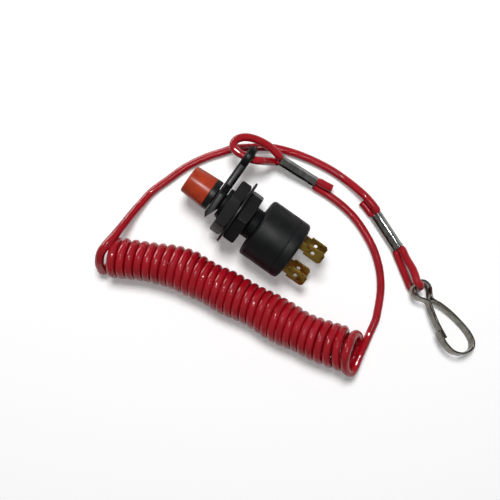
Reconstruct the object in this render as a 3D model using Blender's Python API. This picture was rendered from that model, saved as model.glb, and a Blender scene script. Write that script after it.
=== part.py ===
"""Engine kill switch with its clip-in key and a coiled lanyard.

The switch lies on its panel washer and the rim of its housing, key fitted, with the lanyard beside it.
Every size is in metres. Station means distance along the switch from the face of the button.
X runs along the switch to the terminals, Y runs along the key to its eye, and Z is up.
"""
import math

import bmesh
import bpy
from mathutils import Matrix, Vector

# Fits
CLEARANCE = 0.0003
SEAL_SQUEEZE = 0.00015

# Button cap, a tapered push-on moulding
CAP_LENGTH = 0.0123
CAP_FRONT_RADIUS = 0.0072
CAP_REAR_RADIUS = 0.0081
CAP_EDGE = 0.0009
CAP_WALL = 0.0026
SPIGOT_RADIUS = 0.0037

# Plunger, with the collar that the key holds out
COLLAR_RADIUS = 0.00805
COLLAR_THICKNESS = 0.0028
SHAFT_RADIUS = 0.0043
SHAFT_END_RADIUS = 0.0026
SHAFT_END_LENGTH = 0.0027
SCREW_BORE_RADIUS = 0.0013
SCREW_BORE_DEPTH = 0.0070

# Key, a forked plate with an eye
KEY_THICKNESS = 0.0042
KEY_PRONG_REACH = 0.0099
KEY_FORK_HALF_WIDTH = 0.0084
KEY_SHOULDER = 0.0060
KEY_STEM_HALF_WIDTH = 0.0035
KEY_EYE_OFFSET = 0.0249
KEY_EYE_OUTER_RADIUS = 0.0061
KEY_EYE_HOLE_RADIUS = 0.0031
KEY_EDGE = 0.0013
KEY_WEDGE_LENGTH = 0.0028

# Threaded neck with its nuts and panel washer
NECK_RADIUS = 0.00807
NECK_EDGE = 0.0004
NECK_PROUD = 0.0019
NECK_WEB = 0.0034
SPRING_BORE_RADIUS = 0.0061
SEAL_GROOVE_RADIUS = 0.0057
SEAL_GROOVE_WIDTH = 0.0015
NUT_FLATS = 0.0254
NUT_CHAMFER = 0.0011
FRONT_NUT_THICKNESS = 0.0058
FRONT_NUT_TURN = math.radians(12.0)
REAR_NUT_THICKNESS = 0.0060
REAR_NUT_TURN = math.radians(21.0)
WASHER_RADIUS = 0.0170
WASHER_THICKNESS = 0.0011
WASHER_EDGE = 0.0002
NECK_BARE = 0.0052

# Housing and the base that closes it
HOUSING_RADIUS = 0.0154
HOUSING_EDGE = 0.0018
HOUSING_WALL = 0.0022
HOUSING_FRONT_WALL = 0.0024
HOUSING_LENGTH = 0.0156
BASE_LENGTH = 0.0057
BASE_WALL = 0.0017
BASE_FLOOR = 0.0030
BASE_LIP = 0.0037

# Flat tab terminals, two on each side of the middle
TAB_WIDTH = 0.00635
TAB_THICKNESS = 0.0008
TAB_REACH = 0.0130
TAB_ROOT_WIDTH = 0.0040
TAB_ROOT_LENGTH = 0.0035
TAB_CORNER = 0.0012
TAB_HOLE_RADIUS = 0.00095
TAB_HOLE_FROM_TIP = 0.0058
TAB_STEP = 0.00223
TAB_LEVEL = 0.00385
TAB_TURN = math.radians(30.0)
LEG_WIDTH = 0.0014
LEG_GAP = 0.0004
HOOK_DEPTH = 0.0010
SIDE_GAP = 0.0004

# Moving contacts and their carrier
CARRIER_HALF_WIDTH = 0.0045
CARRIER_HALF_HEIGHT = 0.0070
CARRIER_GAP_TO_WALL = 0.0020
CARRIER_HUB = 0.0032
CARRIER_END_WALL = 0.0014
RUN_WINDOW = 0.0050
KILL_WINDOW = 0.0032
WINDOW_HALF_HEIGHT = 0.0018
RUN_CONTACT_DEPTH = 0.0005
KILL_CONTACT_GAP = 0.0037
BRIDGE_THICKNESS = 0.0007
BRIDGE_HALF_HEIGHT = 0.0015
SCREW_HEAD_RADIUS = 0.0018
SCREW_HEAD_HEIGHT = 0.0009
SCREW_SHANK_RADIUS = 0.0010
SCREW_SHANK_LENGTH = 0.0105

# Springs
RETURN_SPRING_WIRE = 0.0008
RETURN_SPRING_RADIUS = 0.0052
RETURN_SPRING_TURNS = 7
CONTACT_SPRING_WIRE = 0.00035
CONTACT_SPRING_RADIUS = 0.0011
CONTACT_SPRING_TURNS = 3

# Lanyard cord, its coil and its two crimped ferrules
CORD_DIAMETER = 0.0038
COIL_DIAMETER = 0.0200
FERRULE_HALF_WIDTH = 0.0030
FERRULE_HALF_HEIGHT = 0.00245
FERRULE_SHEET = 0.0006
FERRULE_FLARE = 1.12
FERRULE_FLARE_LENGTH = 0.0015
FERRULE_SEAM = math.radians(6.0)
CRIMPED_SCALE = 0.53
CRIMPED_OFFSET = 0.00117
LOOSE_OFFSET = 0.0021
CRIMP_TAPER = 0.0025

# Snap hook, one bent strip of spring steel
STRIP_WIDTH = 0.0048
STRIP_THICKNESS = 0.0010
HOOK_EYE_RADIUS = 0.0047
HOOK_EYE_PLACE = Vector((0.0890, 0.0152, 0.0065))
HOOK_YAW = math.radians(-18.5)
HOOK_PITCH = math.radians(1.2)
HOOK_ROLL = math.radians(-28.0)

# Fineness of the round work
ROUND = 48
SMALL_ROUND = 24
ARC_STEPS = 3

# Stations that follow from the sizes above
COLLAR_FRONT = CAP_LENGTH + CLEARANCE
COLLAR_REAR = COLLAR_FRONT + COLLAR_THICKNESS
KEY_FRONT = COLLAR_REAR + CLEARANCE
KEY_REAR = KEY_FRONT + KEY_THICKNESS
NECK_FRONT = KEY_REAR + CLEARANCE
FRONT_NUT_FRONT = NECK_FRONT + NECK_PROUD
WASHER_FRONT = FRONT_NUT_FRONT + FRONT_NUT_THICKNESS + CLEARANCE
WASHER_REAR = WASHER_FRONT + WASHER_THICKNESS
REAR_NUT_FRONT = WASHER_REAR + CLEARANCE
HOUSING_FRONT = REAR_NUT_FRONT + REAR_NUT_THICKNESS + NECK_BARE
HOUSING_REAR = HOUSING_FRONT + HOUSING_LENGTH
CAVITY_FRONT = HOUSING_FRONT + HOUSING_FRONT_WALL
BASE_FRONT = HOUSING_REAR + CLEARANCE
BASE_REAR = BASE_FRONT + BASE_LENGTH
BASE_INSIDE = BASE_REAR - BASE_FLOOR
TAB_TIP = BASE_REAR + TAB_REACH
CARRIER_FRONT = CAVITY_FRONT + CARRIER_GAP_TO_WALL
SHAFT_SHOULDER = CARRIER_FRONT - CLEARANCE
WINDOW_FRONT = CARRIER_FRONT + CARRIER_HUB
CARRIER_REAR = WINDOW_FRONT + RUN_WINDOW + CARRIER_END_WALL
CAVITY_RADIUS = HOUSING_RADIUS - HOUSING_WALL
LIP_OUTER = CAVITY_RADIUS - CLEARANCE
LIP_INNER = LIP_OUTER - BASE_WALL
LEG_OUTER = math.sqrt((LIP_INNER - LEG_GAP) ** 2 - (TAB_LEVEL + TAB_THICKNESS / 2.0) ** 2)
LEG_INNER = LEG_OUTER - LEG_WIDTH
TAB_SPREAD = LEG_OUTER - TAB_STEP
HOOK_INNER = CARRIER_HALF_WIDTH + SIDE_GAP
BRIDGE_HALF_LENGTH = LEG_INNER - SIDE_GAP
RUN_CONTACT = WINDOW_FRONT + RUN_CONTACT_DEPTH + HOOK_DEPTH
RUN_BRIDGE = RUN_CONTACT + CLEARANCE
KILL_BRIDGE = WINDOW_FRONT + KILL_WINDOW - CLEARANCE - BRIDGE_THICKNESS
KILL_CONTACT = KILL_BRIDGE + BRIDGE_THICKNESS + KILL_CONTACT_GAP

# Lanyard route, in points chosen along the cord, in metres
KEY_FERRULE = (Vector((-0.0052, 0.0264, 0.0084)), Vector((0.0137, 0.0277, 0.0044)))
KEY_FERRULE_PAIR = Vector((0.0, math.cos(math.radians(40.0)), math.sin(math.radians(40.0))))
HOOK_FERRULE = (Vector((0.0657, 0.0251, 0.00345)), Vector((0.0477, 0.0323, 0.00345)))
HOOK_FERRULE_PAIR = Vector((-0.262, -0.658, -0.707))
KEY_TAIL = [(0.0225, 0.0302, 0.0052), (0.0196, 0.0297, 0.0053)]
KEY_LOOP = [
    (-0.0118, 0.0283, 0.0121), (-0.0162, 0.0283, 0.0136), (-0.0210, 0.0278, 0.0148),
    (-0.0254, 0.0262, 0.0156), (-0.0286, 0.0236, 0.0164), (-0.0299, 0.0204, 0.0171),
    (-0.0287, 0.0179, 0.0175), (-0.0260, 0.0171, 0.0176), (-0.0230, 0.0173, 0.0176),
    (-0.0199, 0.0177, 0.0176), (-0.0168, 0.0186, 0.0174), (-0.0140, 0.0202, 0.0163),
    (-0.0112, 0.0226, 0.0124),
]
KEY_RUN = [
    (0.0235, 0.0268, 0.0019), (0.0328, 0.0264, 0.0019), (0.0407, 0.0249, 0.0019),
    (0.0491, 0.0218, 0.0019), (0.0575, 0.0174, 0.0019), (0.0655, 0.0109, 0.0019),
    (0.0717, 0.0031, 0.0019), (0.0763, -0.0059, 0.0019), (0.0780, -0.0110, 0.0019),
]
COIL_KEY_RUN = [
    (0.0781, -0.0113, 0.0019), (0.0794, -0.0159, 0.0019), (0.0810, -0.0249, 0.0019),
    (0.0816, -0.0315, 0.0022), (0.0814, -0.0366, 0.0046), (0.0806, -0.0388, 0.0088),
    (0.0804, -0.0384, 0.0126),
]
COIL_AXIS = [
    (0.0767, -0.0311, 0.0100), (0.0708, -0.0322, 0.0100), (0.0568, -0.0354, 0.0100),
    (0.0413, -0.0373, 0.0100), (0.0262, -0.0394, 0.0100), (0.0109, -0.0413, 0.0100),
    (-0.0040, -0.0434, 0.0100), (-0.0164, -0.0455, 0.0100), (-0.0302, -0.0516, 0.0100),
    (-0.0416, -0.0576, 0.0100), (-0.0460, -0.0599, 0.0100),
]
COIL_HOOK_RUN = [
    (-0.0450, -0.0686, 0.0114), (-0.0465, -0.0661, 0.0162), (-0.0485, -0.0620, 0.0180),
    (-0.0509, -0.0575, 0.0160), (-0.0534, -0.0515, 0.0115), (-0.0539, -0.0460, 0.0070),
    (-0.0530, -0.0405, 0.0036), (-0.0516, -0.0350, 0.0020), (-0.0500, -0.0240, 0.0019),
    (-0.0472, -0.0135, 0.0019),
]
HOOK_RUN = [
    (-0.0471, -0.0132, 0.0019), (-0.0435, -0.0030, 0.0019), (-0.0382, 0.0067, 0.0019),
    (-0.0330, 0.0137, 0.0019), (-0.0299, 0.0178, 0.0019), (-0.0229, 0.0237, 0.0019),
    (-0.0143, 0.0297, 0.0019), (-0.0051, 0.0335, 0.0019), (0.0052, 0.0362, 0.0019),
    (0.0163, 0.0378, 0.0019), (0.0235, 0.0380, 0.0022), (0.0310, 0.0376, 0.0035),
    (0.0395, 0.0364, 0.0049),
]
HOOK_LOOP = [
    (0.0735, 0.0238, 0.0062), (0.0790, 0.0210, 0.0094), (0.0823, 0.0189, 0.0111),
    (0.0850, 0.0173, 0.0115), (0.0868, 0.0171, 0.0110), (0.0876, 0.0166, 0.0097),
    (0.0877, 0.0159, 0.0080), (0.0875, 0.0152, 0.0066), (0.0871, 0.0145, 0.0052),
    (0.0863, 0.0138, 0.0038), (0.0851, 0.0133, 0.0028), (0.0836, 0.0131, 0.0023),
    (0.0800, 0.0147, 0.0019), (0.0738, 0.0186, 0.0019),
]
HOOK_TAIL = [(0.0425, 0.0326, 0.0019), (0.0396, 0.0334, 0.0019)]


def finish(name, colour, roughness, metallic=0.0):
    """A plain surface finish."""
    material = bpy.data.materials.new(name)
    material.use_nodes = True
    surface = material.node_tree.nodes["Principled BSDF"]
    surface.inputs["Base Color"].default_value = (*colour, 1.0)
    surface.inputs["Roughness"].default_value = roughness
    surface.inputs["Metallic"].default_value = metallic
    return material


def add_object(name, bm, material, parent=None):
    """Turns a finished bmesh into a named, shaded object."""
    bmesh.ops.recalc_face_normals(bm, faces=bm.faces)
    mesh = bpy.data.meshes.new(name)
    bm.to_mesh(mesh)
    bm.free()
    mesh.shade_smooth()
    mesh.set_sharp_from_angle(angle=math.radians(35.0))
    if material:
        mesh.materials.append(material)
    obj = bpy.data.objects.new(name, mesh)
    bpy.context.scene.collection.objects.link(obj)
    obj.parent = parent
    return obj


def add_frame(name, parent=None):
    """An empty that carries the pieces placed on it."""
    frame = bpy.data.objects.new(name, None)
    bpy.context.scene.collection.objects.link(frame)
    frame.parent = parent
    return frame


def softened(corners, steps=ARC_STEPS):
    """A closed outline whose corners (x, y, radius) are rounded by arcs."""
    points = []
    count = len(corners)
    for index, (x, y, radius) in enumerate(corners):
        corner = Vector((x, y))
        if radius <= 0.0:
            points.append(corner)
            continue
        before = (Vector(corners[index - 1][:2]) - corner).normalized()
        after = (Vector(corners[(index + 1) % count][:2]) - corner).normalized()
        half = before.angle(after) / 2.0
        centre = corner + (before + after).normalized() * radius / math.sin(half)
        start = corner + before * radius / math.tan(half) - centre
        end = corner + after * radius / math.tan(half) - centre
        sweep = start.angle_signed(end)
        for step in range(steps + 1):
            turn = Matrix.Rotation(-sweep * step / steps, 2)
            points.append(centre + turn @ start)
    return points


def turned(name, outline, material, parent, segments=ROUND, on_axis=False):
    """Turns an outline of (station, radius) about the switch's axis."""
    bm = bmesh.new()
    verts = [bm.verts.new((station, 0.0, radius)) for station, radius in outline]
    following = verts[1:] if on_axis else verts[1:] + verts[:1]
    edges = [bm.edges.new(pair) for pair in zip(verts, following)]
    bmesh.ops.spin(
        bm, geom=verts + edges, cent=(0.0, 0.0, 0.0), axis=(1.0, 0.0, 0.0),
        angle=2.0 * math.pi, steps=segments, use_merge=True,
    )
    bmesh.ops.remove_doubles(bm, verts=bm.verts, dist=0.000001)
    return add_object(name, bm, material, parent)


def prism(name, outline, depth, material, parent, upright=False):
    """Extrudes a flat outline by depth: along X when upright, otherwise along Z."""
    bm = bmesh.new()
    if upright:
        verts = [bm.verts.new((0.0, u, v)) for u, v in outline]
        shift = Vector((depth, 0.0, 0.0))
    else:
        verts = [bm.verts.new((u, v, 0.0)) for u, v in outline]
        shift = Vector((0.0, 0.0, depth))
    face = bm.faces.new(verts)
    grown = bmesh.ops.extrude_face_region(bm, geom=[face])
    moved = [item for item in grown["geom"] if isinstance(item, bmesh.types.BMVert)]
    bmesh.ops.translate(bm, verts=moved, vec=shift)
    return add_object(name, bm, material, parent)


def block(name, low, high, material, parent):
    """A box between two corners."""
    bm = bmesh.new()
    bmesh.ops.create_cube(bm, size=1.0)
    low = Vector(low)
    high = Vector(high)
    for vert in bm.verts:
        vert.co = [low[i] + (vert.co[i] + 0.5) * (high[i] - low[i]) for i in range(3)]
    return add_object(name, bm, material, parent)


def cut(target, cutter, operation="DIFFERENCE"):
    """Shapes the target with a hidden cutter."""
    cutter.hide_render = True
    cutter.hide_viewport = False
    cutter.display_type = "WIRE"
    modifier = target.modifiers.new(cutter.name, "BOOLEAN")
    modifier.operation = operation
    modifier.solver = "EXACT"
    modifier.object = cutter


def arc(centre, radius, start, end, steps):
    """Points on an arc, with its angles in degrees."""
    points = []
    for step in range(steps + 1):
        angle = math.radians(start + (end - start) * step / steps)
        points.append((centre[0] + radius * math.cos(angle), centre[1] + radius * math.sin(angle)))
    return points


def smooth_path(route, steps=12):
    """Dense points on a smooth curve through the points of a route."""
    knots = [Vector(point) for point in route]
    knots = [2.0 * knots[0] - knots[1]] + knots + [2.0 * knots[-1] - knots[-2]]
    dense = []
    for index in range(1, len(knots) - 2):
        p0, p1, p2, p3 = knots[index - 1:index + 3]
        t1 = (p1 - p0).length ** 0.5
        t2 = t1 + (p2 - p1).length ** 0.5
        t3 = t2 + (p3 - p2).length ** 0.5
        for step in range(steps):
            t = t1 + (t2 - t1) * step / steps
            a1 = p0.lerp(p1, t / t1)
            a2 = p1.lerp(p2, (t - t1) / (t2 - t1))
            a3 = p2.lerp(p3, (t - t2) / (t3 - t2))
            b1 = a1.lerp(a2, t / t2)
            b2 = a2.lerp(a3, (t - t1) / (t3 - t1))
            dense.append(b1.lerp(b2, (t - t1) / (t2 - t1)))
    dense.append(knots[-2])
    return dense


def crimp(point):
    """How far the cord is squeezed at a point: less than 1 inside a ferrule."""
    scale = 1.0
    for start, end in (KEY_FERRULE, HOOK_FERRULE):
        along = (end - start).normalized()
        station = (point - start).dot(along)
        length = (end - start).length
        outside = max(-station - CLEARANCE, station - length - CLEARANCE, 0.0)
        off_axis = (point - start - along * station).length
        if outside < CRIMP_TAPER and off_axis < 2.0 * LOOSE_OFFSET:
            scale = CRIMPED_SCALE + (1.0 - CRIMPED_SCALE) * outside / CRIMP_TAPER
    return scale


def passage(ferrule, pair, side):
    """Route points of one strand through a ferrule, from its loop end to its other end."""
    start, end = ferrule
    along = (end - start).normalized()
    across = (pair - along * pair.dot(along)).normalized() * side
    return [
        start - along * CRIMP_TAPER + across * LOOSE_OFFSET,
        start + across * CRIMPED_OFFSET,
        start + along * CRIMP_TAPER + across * CRIMPED_OFFSET,
        end - along * CRIMP_TAPER + across * CRIMPED_OFFSET,
        end + across * CRIMPED_OFFSET,
        end + along * CRIMP_TAPER + across * LOOSE_OFFSET,
    ]


def cord(name, route, diameter, material, longest=2.4, sharpest=math.radians(24.0), sides=2):
    """A round cord along a route, with more points where it bends or is crimped."""
    dense = smooth_path(route)
    for point in dense:
        point.z = max(point.z, diameter / 2.0)
    scales = [crimp(point) for point in dense]
    kept = [(dense[0], scales[0])]
    travel = 0.0
    turning = 0.0
    for index in range(1, len(dense) - 1):
        here = dense[index]
        step = here - dense[index - 1]
        travel += step.length
        turning += step.angle(dense[index + 1] - here, 0.0)
        at_limit = scales[index] in (CRIMPED_SCALE, 1.0)
        changing = scales[index - 1] != scales[index + 1]
        if travel > longest * diameter or turning > sharpest or (at_limit and changing):
            kept.append((here, scales[index]))
            travel = 0.0
            turning = 0.0
    kept.append((dense[-1], scales[-1]))
    curve = bpy.data.curves.new(name, "CURVE")
    curve.dimensions = "3D"
    curve.bevel_depth = diameter / 2.0
    curve.bevel_resolution = sides
    curve.use_fill_caps = True
    spline = curve.splines.new("POLY")
    spline.points.add(len(kept) - 1)
    for point, (place, scale) in zip(spline.points, kept):
        point.co = (*place, 1.0)
        point.radius = scale
    curve.materials.append(material)
    obj = bpy.data.objects.new(name, curve)
    bpy.context.scene.collection.objects.link(obj)
    return obj


def spring(name, start, length, turns, radius, wire, material, parent, offset=0.0, per_turn=12):
    """A round-wire compression spring along the axis, lying between two faces."""
    curve = bpy.data.curves.new(name, "CURVE")
    curve.dimensions = "3D"
    curve.bevel_depth = wire / 2.0
    curve.bevel_resolution = 1
    curve.use_fill_caps = True
    spline = curve.splines.new("POLY")
    count = turns * per_turn + 1
    spline.points.add(count - 1)
    rise = (length - wire) / (count - 1)
    for index, point in enumerate(spline.points):
        angle = 2.0 * math.pi * index / per_turn
        station = start + wire / 2.0 + rise * index
        height = offset + radius * math.sin(angle)
        point.co = (station, radius * math.cos(angle), height, 1.0)
    curve.materials.append(material)
    obj = bpy.data.objects.new(name, curve)
    bpy.context.scene.collection.objects.link(obj)
    obj.parent = parent
    return obj


def build_button(frame):
    """Orange cap, pressed on the spigot of the black plunger."""
    bore = SPIGOT_RADIUS + CLEARANCE
    taper = [
        (0.0, 0.0, 0.0),
        (0.0, CAP_FRONT_RADIUS, CAP_EDGE),
        (CAP_LENGTH, CAP_REAR_RADIUS, CAP_EDGE / 4.0),
        (CAP_LENGTH, bore, 0.0),
        (CAP_WALL, bore, 0.0),
        (CAP_WALL, 0.0, 0.0),
    ]
    orange = finish("cap_plastic", (0.62, 0.10, 0.03), 0.25)
    turned("button_cap", softened(taper), orange, frame, on_axis=True)

    spigot_front = CAP_WALL + CLEARANCE
    shaft_end = SHAFT_SHOULDER + SHAFT_END_LENGTH
    body = [
        (spigot_front, 0.0, 0.0),
        (spigot_front, SPIGOT_RADIUS, CAP_EDGE / 3.0),
        (COLLAR_FRONT, SPIGOT_RADIUS, 0.0),
        (COLLAR_FRONT, COLLAR_RADIUS, CAP_EDGE / 3.0),
        (COLLAR_REAR, COLLAR_RADIUS, CAP_EDGE / 3.0),
        (COLLAR_REAR, SHAFT_RADIUS, 0.0),
        (SHAFT_SHOULDER, SHAFT_RADIUS, 0.0),
        (SHAFT_SHOULDER, SHAFT_END_RADIUS, 0.0),
        (shaft_end, SHAFT_END_RADIUS, 0.0),
        (shaft_end, SCREW_BORE_RADIUS, 0.0),
        (shaft_end - SCREW_BORE_DEPTH, SCREW_BORE_RADIUS, 0.0),
        (shaft_end - SCREW_BORE_DEPTH, 0.0, 0.0),
    ]
    black = finish("plunger_plastic", (0.02, 0.02, 0.022), 0.4)
    turned("plunger", softened(body), black, frame, on_axis=True)


def build_key(frame):
    """Forked key: the fork straddles the shaft behind the collar, and the eye holds the cord."""
    slot = SHAFT_RADIUS + CLEARANCE
    eye_turn = math.degrees(math.asin(KEY_STEM_HALF_WIDTH / KEY_EYE_OUTER_RADIUS))
    shoulder_height = KEY_FORK_HALF_WIDTH - KEY_SHOULDER
    shoulder_turn = math.degrees(math.asin((KEY_STEM_HALF_WIDTH - shoulder_height) / KEY_SHOULDER))
    half = [(-KEY_PRONG_REACH, slot)]
    half += [(-KEY_PRONG_REACH, KEY_FORK_HALF_WIDTH)]
    half += arc((0.0015, shoulder_height), KEY_SHOULDER, 90.0, shoulder_turn, 5)
    half += arc((KEY_EYE_OFFSET, 0.0), KEY_EYE_OUTER_RADIUS, 180.0 - eye_turn, 0.0, 8)
    other = [(u, -v) for u, v in reversed(half[:-1])]
    slot_end = arc((0.0, 0.0), slot, -90.0, 90.0, 10)
    outline = half + other + slot_end
    black = finish("key_plastic", (0.02, 0.02, 0.022), 0.35)
    key = prism("lanyard_key", outline, KEY_THICKNESS, black, frame, upright=True)
    key.location.x = KEY_FRONT

    bm = bmesh.new()
    bm.from_mesh(key.data)
    rims = [edge for edge in bm.edges if abs(edge.verts[0].co.x - edge.verts[1].co.x) < 0.00001]
    bmesh.ops.bevel(
        bm, geom=rims, offset=KEY_EDGE, segments=2, profile=0.5, affect="EDGES",
        clamp_overlap=True,
    )
    middle = KEY_THICKNESS / 2.0
    wedge = Vector((KEY_WEDGE_LENGTH, -middle, 0.0)).normalized()
    for direction in (1.0, -1.0):
        normal = Vector((wedge.x * direction, wedge.y, 0.0))
        bmesh.ops.bisect_plane(
            bm, geom=bm.verts[:] + bm.edges[:] + bm.faces[:], dist=0.0000001,
            plane_co=(middle, -KEY_PRONG_REACH, 0.0), plane_no=normal, clear_outer=True,
        )
        open_edges = [edge for edge in bm.edges if edge.is_boundary]
        bmesh.ops.holes_fill(bm, edges=open_edges, sides=0)
    bmesh.ops.remove_doubles(bm, verts=bm.verts, dist=0.00001)
    bmesh.ops.recalc_face_normals(bm, faces=bm.faces)
    bm.to_mesh(key.data)
    bm.free()
    key.data.shade_smooth()
    key.data.set_sharp_from_angle(angle=math.radians(35.0))

    hole = turned("key_eye_hole", [
        (-KEY_THICKNESS, 0.0), (-KEY_THICKNESS, KEY_EYE_HOLE_RADIUS),
        (2.0 * KEY_THICKNESS, KEY_EYE_HOLE_RADIUS), (2.0 * KEY_THICKNESS, 0.0),
    ], None, key, segments=SMALL_ROUND, on_axis=True)
    hole.location.y = KEY_EYE_OFFSET
    cut(key, hole)


def build_neck_fittings(frame):
    """Panel washer between two hexagon nuts, all on the threaded neck."""
    bore = NECK_RADIUS + CLEARANCE
    corner = NUT_FLATS / 2.0 / math.cos(math.pi / 6.0)
    black = finish("nut_plastic", (0.022, 0.022, 0.024), 0.45)
    nuts = (
        ("front_nut", FRONT_NUT_FRONT, FRONT_NUT_THICKNESS, FRONT_NUT_TURN),
        ("rear_nut", REAR_NUT_FRONT, REAR_NUT_THICKNESS, REAR_NUT_TURN),
    )
    for name, front, thickness, turn in nuts:
        rear = front + thickness
        blank = [
            (front, bore), (front, corner - 2.0 * NUT_CHAMFER), (front + NUT_CHAMFER, corner + CLEARANCE),
            (rear - NUT_CHAMFER, corner + CLEARANCE), (rear, corner - 2.0 * NUT_CHAMFER), (rear, bore),
        ]
        nut = turned(name, blank, black, frame)
        flats = []
        for index in range(6):
            angle = math.pi / 6.0 + index * math.pi / 3.0 - turn
            flats.append((corner * math.sin(angle), corner * math.cos(angle)))
        hexagon = prism(name + "_flats", flats, thickness * 3.0, None, frame, upright=True)
        hexagon.location.x = front - thickness
        cut(nut, hexagon, "INTERSECT")

    washer = [
        (WASHER_FRONT, bore, 0.0),
        (WASHER_FRONT, WASHER_RADIUS, WASHER_EDGE),
        (WASHER_REAR, WASHER_RADIUS, WASHER_EDGE),
        (WASHER_REAR, bore, 0.0),
    ]
    steel = finish("washer_black", (0.02, 0.02, 0.021), 0.4)
    turned("panel_washer", softened(washer, steps=1), steel, frame)


def build_housing(frame, contact_frame):
    """Round housing with its threaded neck, and the base that carries the terminals."""
    shaft_bore = SHAFT_RADIUS + CLEARANCE
    groove_middle = NECK_FRONT + NECK_WEB / 2.0
    groove = SEAL_GROOVE_WIDTH / 2.0
    web_rear = NECK_FRONT + NECK_WEB
    shell = [
        (NECK_FRONT, shaft_bore, 0.0),
        (NECK_FRONT, NECK_RADIUS, NECK_EDGE),
        (HOUSING_FRONT, NECK_RADIUS, 0.0),
        (HOUSING_FRONT, HOUSING_RADIUS, HOUSING_EDGE),
        (HOUSING_REAR, HOUSING_RADIUS, 0.0),
        (HOUSING_REAR, CAVITY_RADIUS, 0.0),
        (CAVITY_FRONT, CAVITY_RADIUS, 0.0),
        (CAVITY_FRONT, SPRING_BORE_RADIUS, 0.0),
        (web_rear, SPRING_BORE_RADIUS, 0.0),
        (web_rear, shaft_bore, 0.0),
        (groove_middle + groove, shaft_bore, 0.0),
        (groove_middle + groove, SEAL_GROOVE_RADIUS, 0.0),
        (groove_middle - groove, SEAL_GROOVE_RADIUS, 0.0),
        (groove_middle - groove, shaft_bore, 0.0),
    ]
    black = finish("housing_plastic", (0.02, 0.021, 0.022), 0.45)
    turned("switch_body", softened(shell), black, frame)

    section = (SEAL_GROOVE_RADIUS - SHAFT_RADIUS) / 2.0 - SEAL_SQUEEZE
    ring_radius = (SEAL_GROOVE_RADIUS + SHAFT_RADIUS) / 2.0
    ring = arc((groove_middle, ring_radius), section, 0.0, 360.0, 8)[:-1]
    rubber = finish("seal_rubber", (0.015, 0.015, 0.015), 0.6)
    turned("shaft_seal", ring, rubber, frame, segments=SMALL_ROUND)

    cup = [
        (BASE_INSIDE, 0.0, 0.0),
        (BASE_INSIDE, LIP_INNER, 0.0),
        (BASE_FRONT - BASE_LIP, LIP_INNER, 0.0),
        (BASE_FRONT - BASE_LIP, LIP_OUTER, 0.0),
        (BASE_FRONT, LIP_OUTER, 0.0),
        (BASE_FRONT, HOUSING_RADIUS, 0.0),
        (BASE_REAR, HOUSING_RADIUS, HOUSING_EDGE),
        (BASE_REAR, 0.0, 0.0),
    ]
    base = turned("terminal_base", softened(cup), black, frame, on_axis=True)
    root = TAB_ROOT_WIDTH / 2.0 + CLEARANCE
    side = TAB_THICKNESS / 2.0 + CLEARANCE
    for index, (spread, level) in enumerate(tab_places()):
        slot = block(
            "terminal_slot_%d" % index,
            (BASE_INSIDE - BASE_FLOOR, spread - root, level - side),
            (BASE_REAR + BASE_FLOOR, spread + root, level + side), None, contact_frame,
        )
        cut(base, slot)


def tab_places():
    """Where the four tabs stand: spread across the switch and level above its middle."""
    return [(spread * TAB_SPREAD, level * TAB_LEVEL) for level in (1.0, -1.0) for spread in (1.0, -1.0)]


def build_terminals(contact_frame):
    """Stamped brass terminals: a tab outside, and a leg with a contact hook inside."""
    brass = finish("terminal_brass", (0.30, 0.20, 0.06), 0.35, 1.0)
    shoulder = BASE_REAR + TAB_ROOT_LENGTH
    root = TAB_ROOT_WIDTH / 2.0
    tab = TAB_WIDTH / 2.0
    names = ("run_terminal_right", "run_terminal_left", "kill_terminal_right", "kill_terminal_left")
    for name, (spread, level) in zip(names, tab_places()):
        side = math.copysign(1.0, spread)
        contact = RUN_CONTACT - HOOK_DEPTH if level > 0.0 else KILL_CONTACT
        outline = [
            (contact, HOOK_INNER), (contact, LEG_OUTER),
            (BASE_INSIDE, LEG_OUTER), (BASE_INSIDE, TAB_SPREAD + root), (shoulder, TAB_SPREAD + root),
            (shoulder, TAB_SPREAD + tab), (TAB_TIP - TAB_CORNER, TAB_SPREAD + tab),
            (TAB_TIP, TAB_SPREAD + tab - TAB_CORNER), (TAB_TIP, TAB_SPREAD - tab + TAB_CORNER),
            (TAB_TIP - TAB_CORNER, TAB_SPREAD - tab), (shoulder, TAB_SPREAD - tab),
            (shoulder, TAB_SPREAD - root), (BASE_INSIDE, TAB_SPREAD - root), (BASE_INSIDE, LEG_INNER),
            (contact + HOOK_DEPTH, LEG_INNER), (contact + HOOK_DEPTH, HOOK_INNER),
        ]
        outline = [(station, side * across) for station, across in outline]
        terminal = prism(name, outline, TAB_THICKNESS, brass, contact_frame)
        terminal.location.z = level - TAB_THICKNESS / 2.0
        hole = prism(
            name + "_hole", arc((0.0, 0.0), TAB_HOLE_RADIUS, 0.0, 360.0, 16)[:-1],
            4.0 * TAB_THICKNESS, None, contact_frame,
        )
        hole.location = (TAB_TIP - TAB_HOLE_FROM_TIP, spread, level - 2.0 * TAB_THICKNESS)
        cut(terminal, hole)


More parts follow.
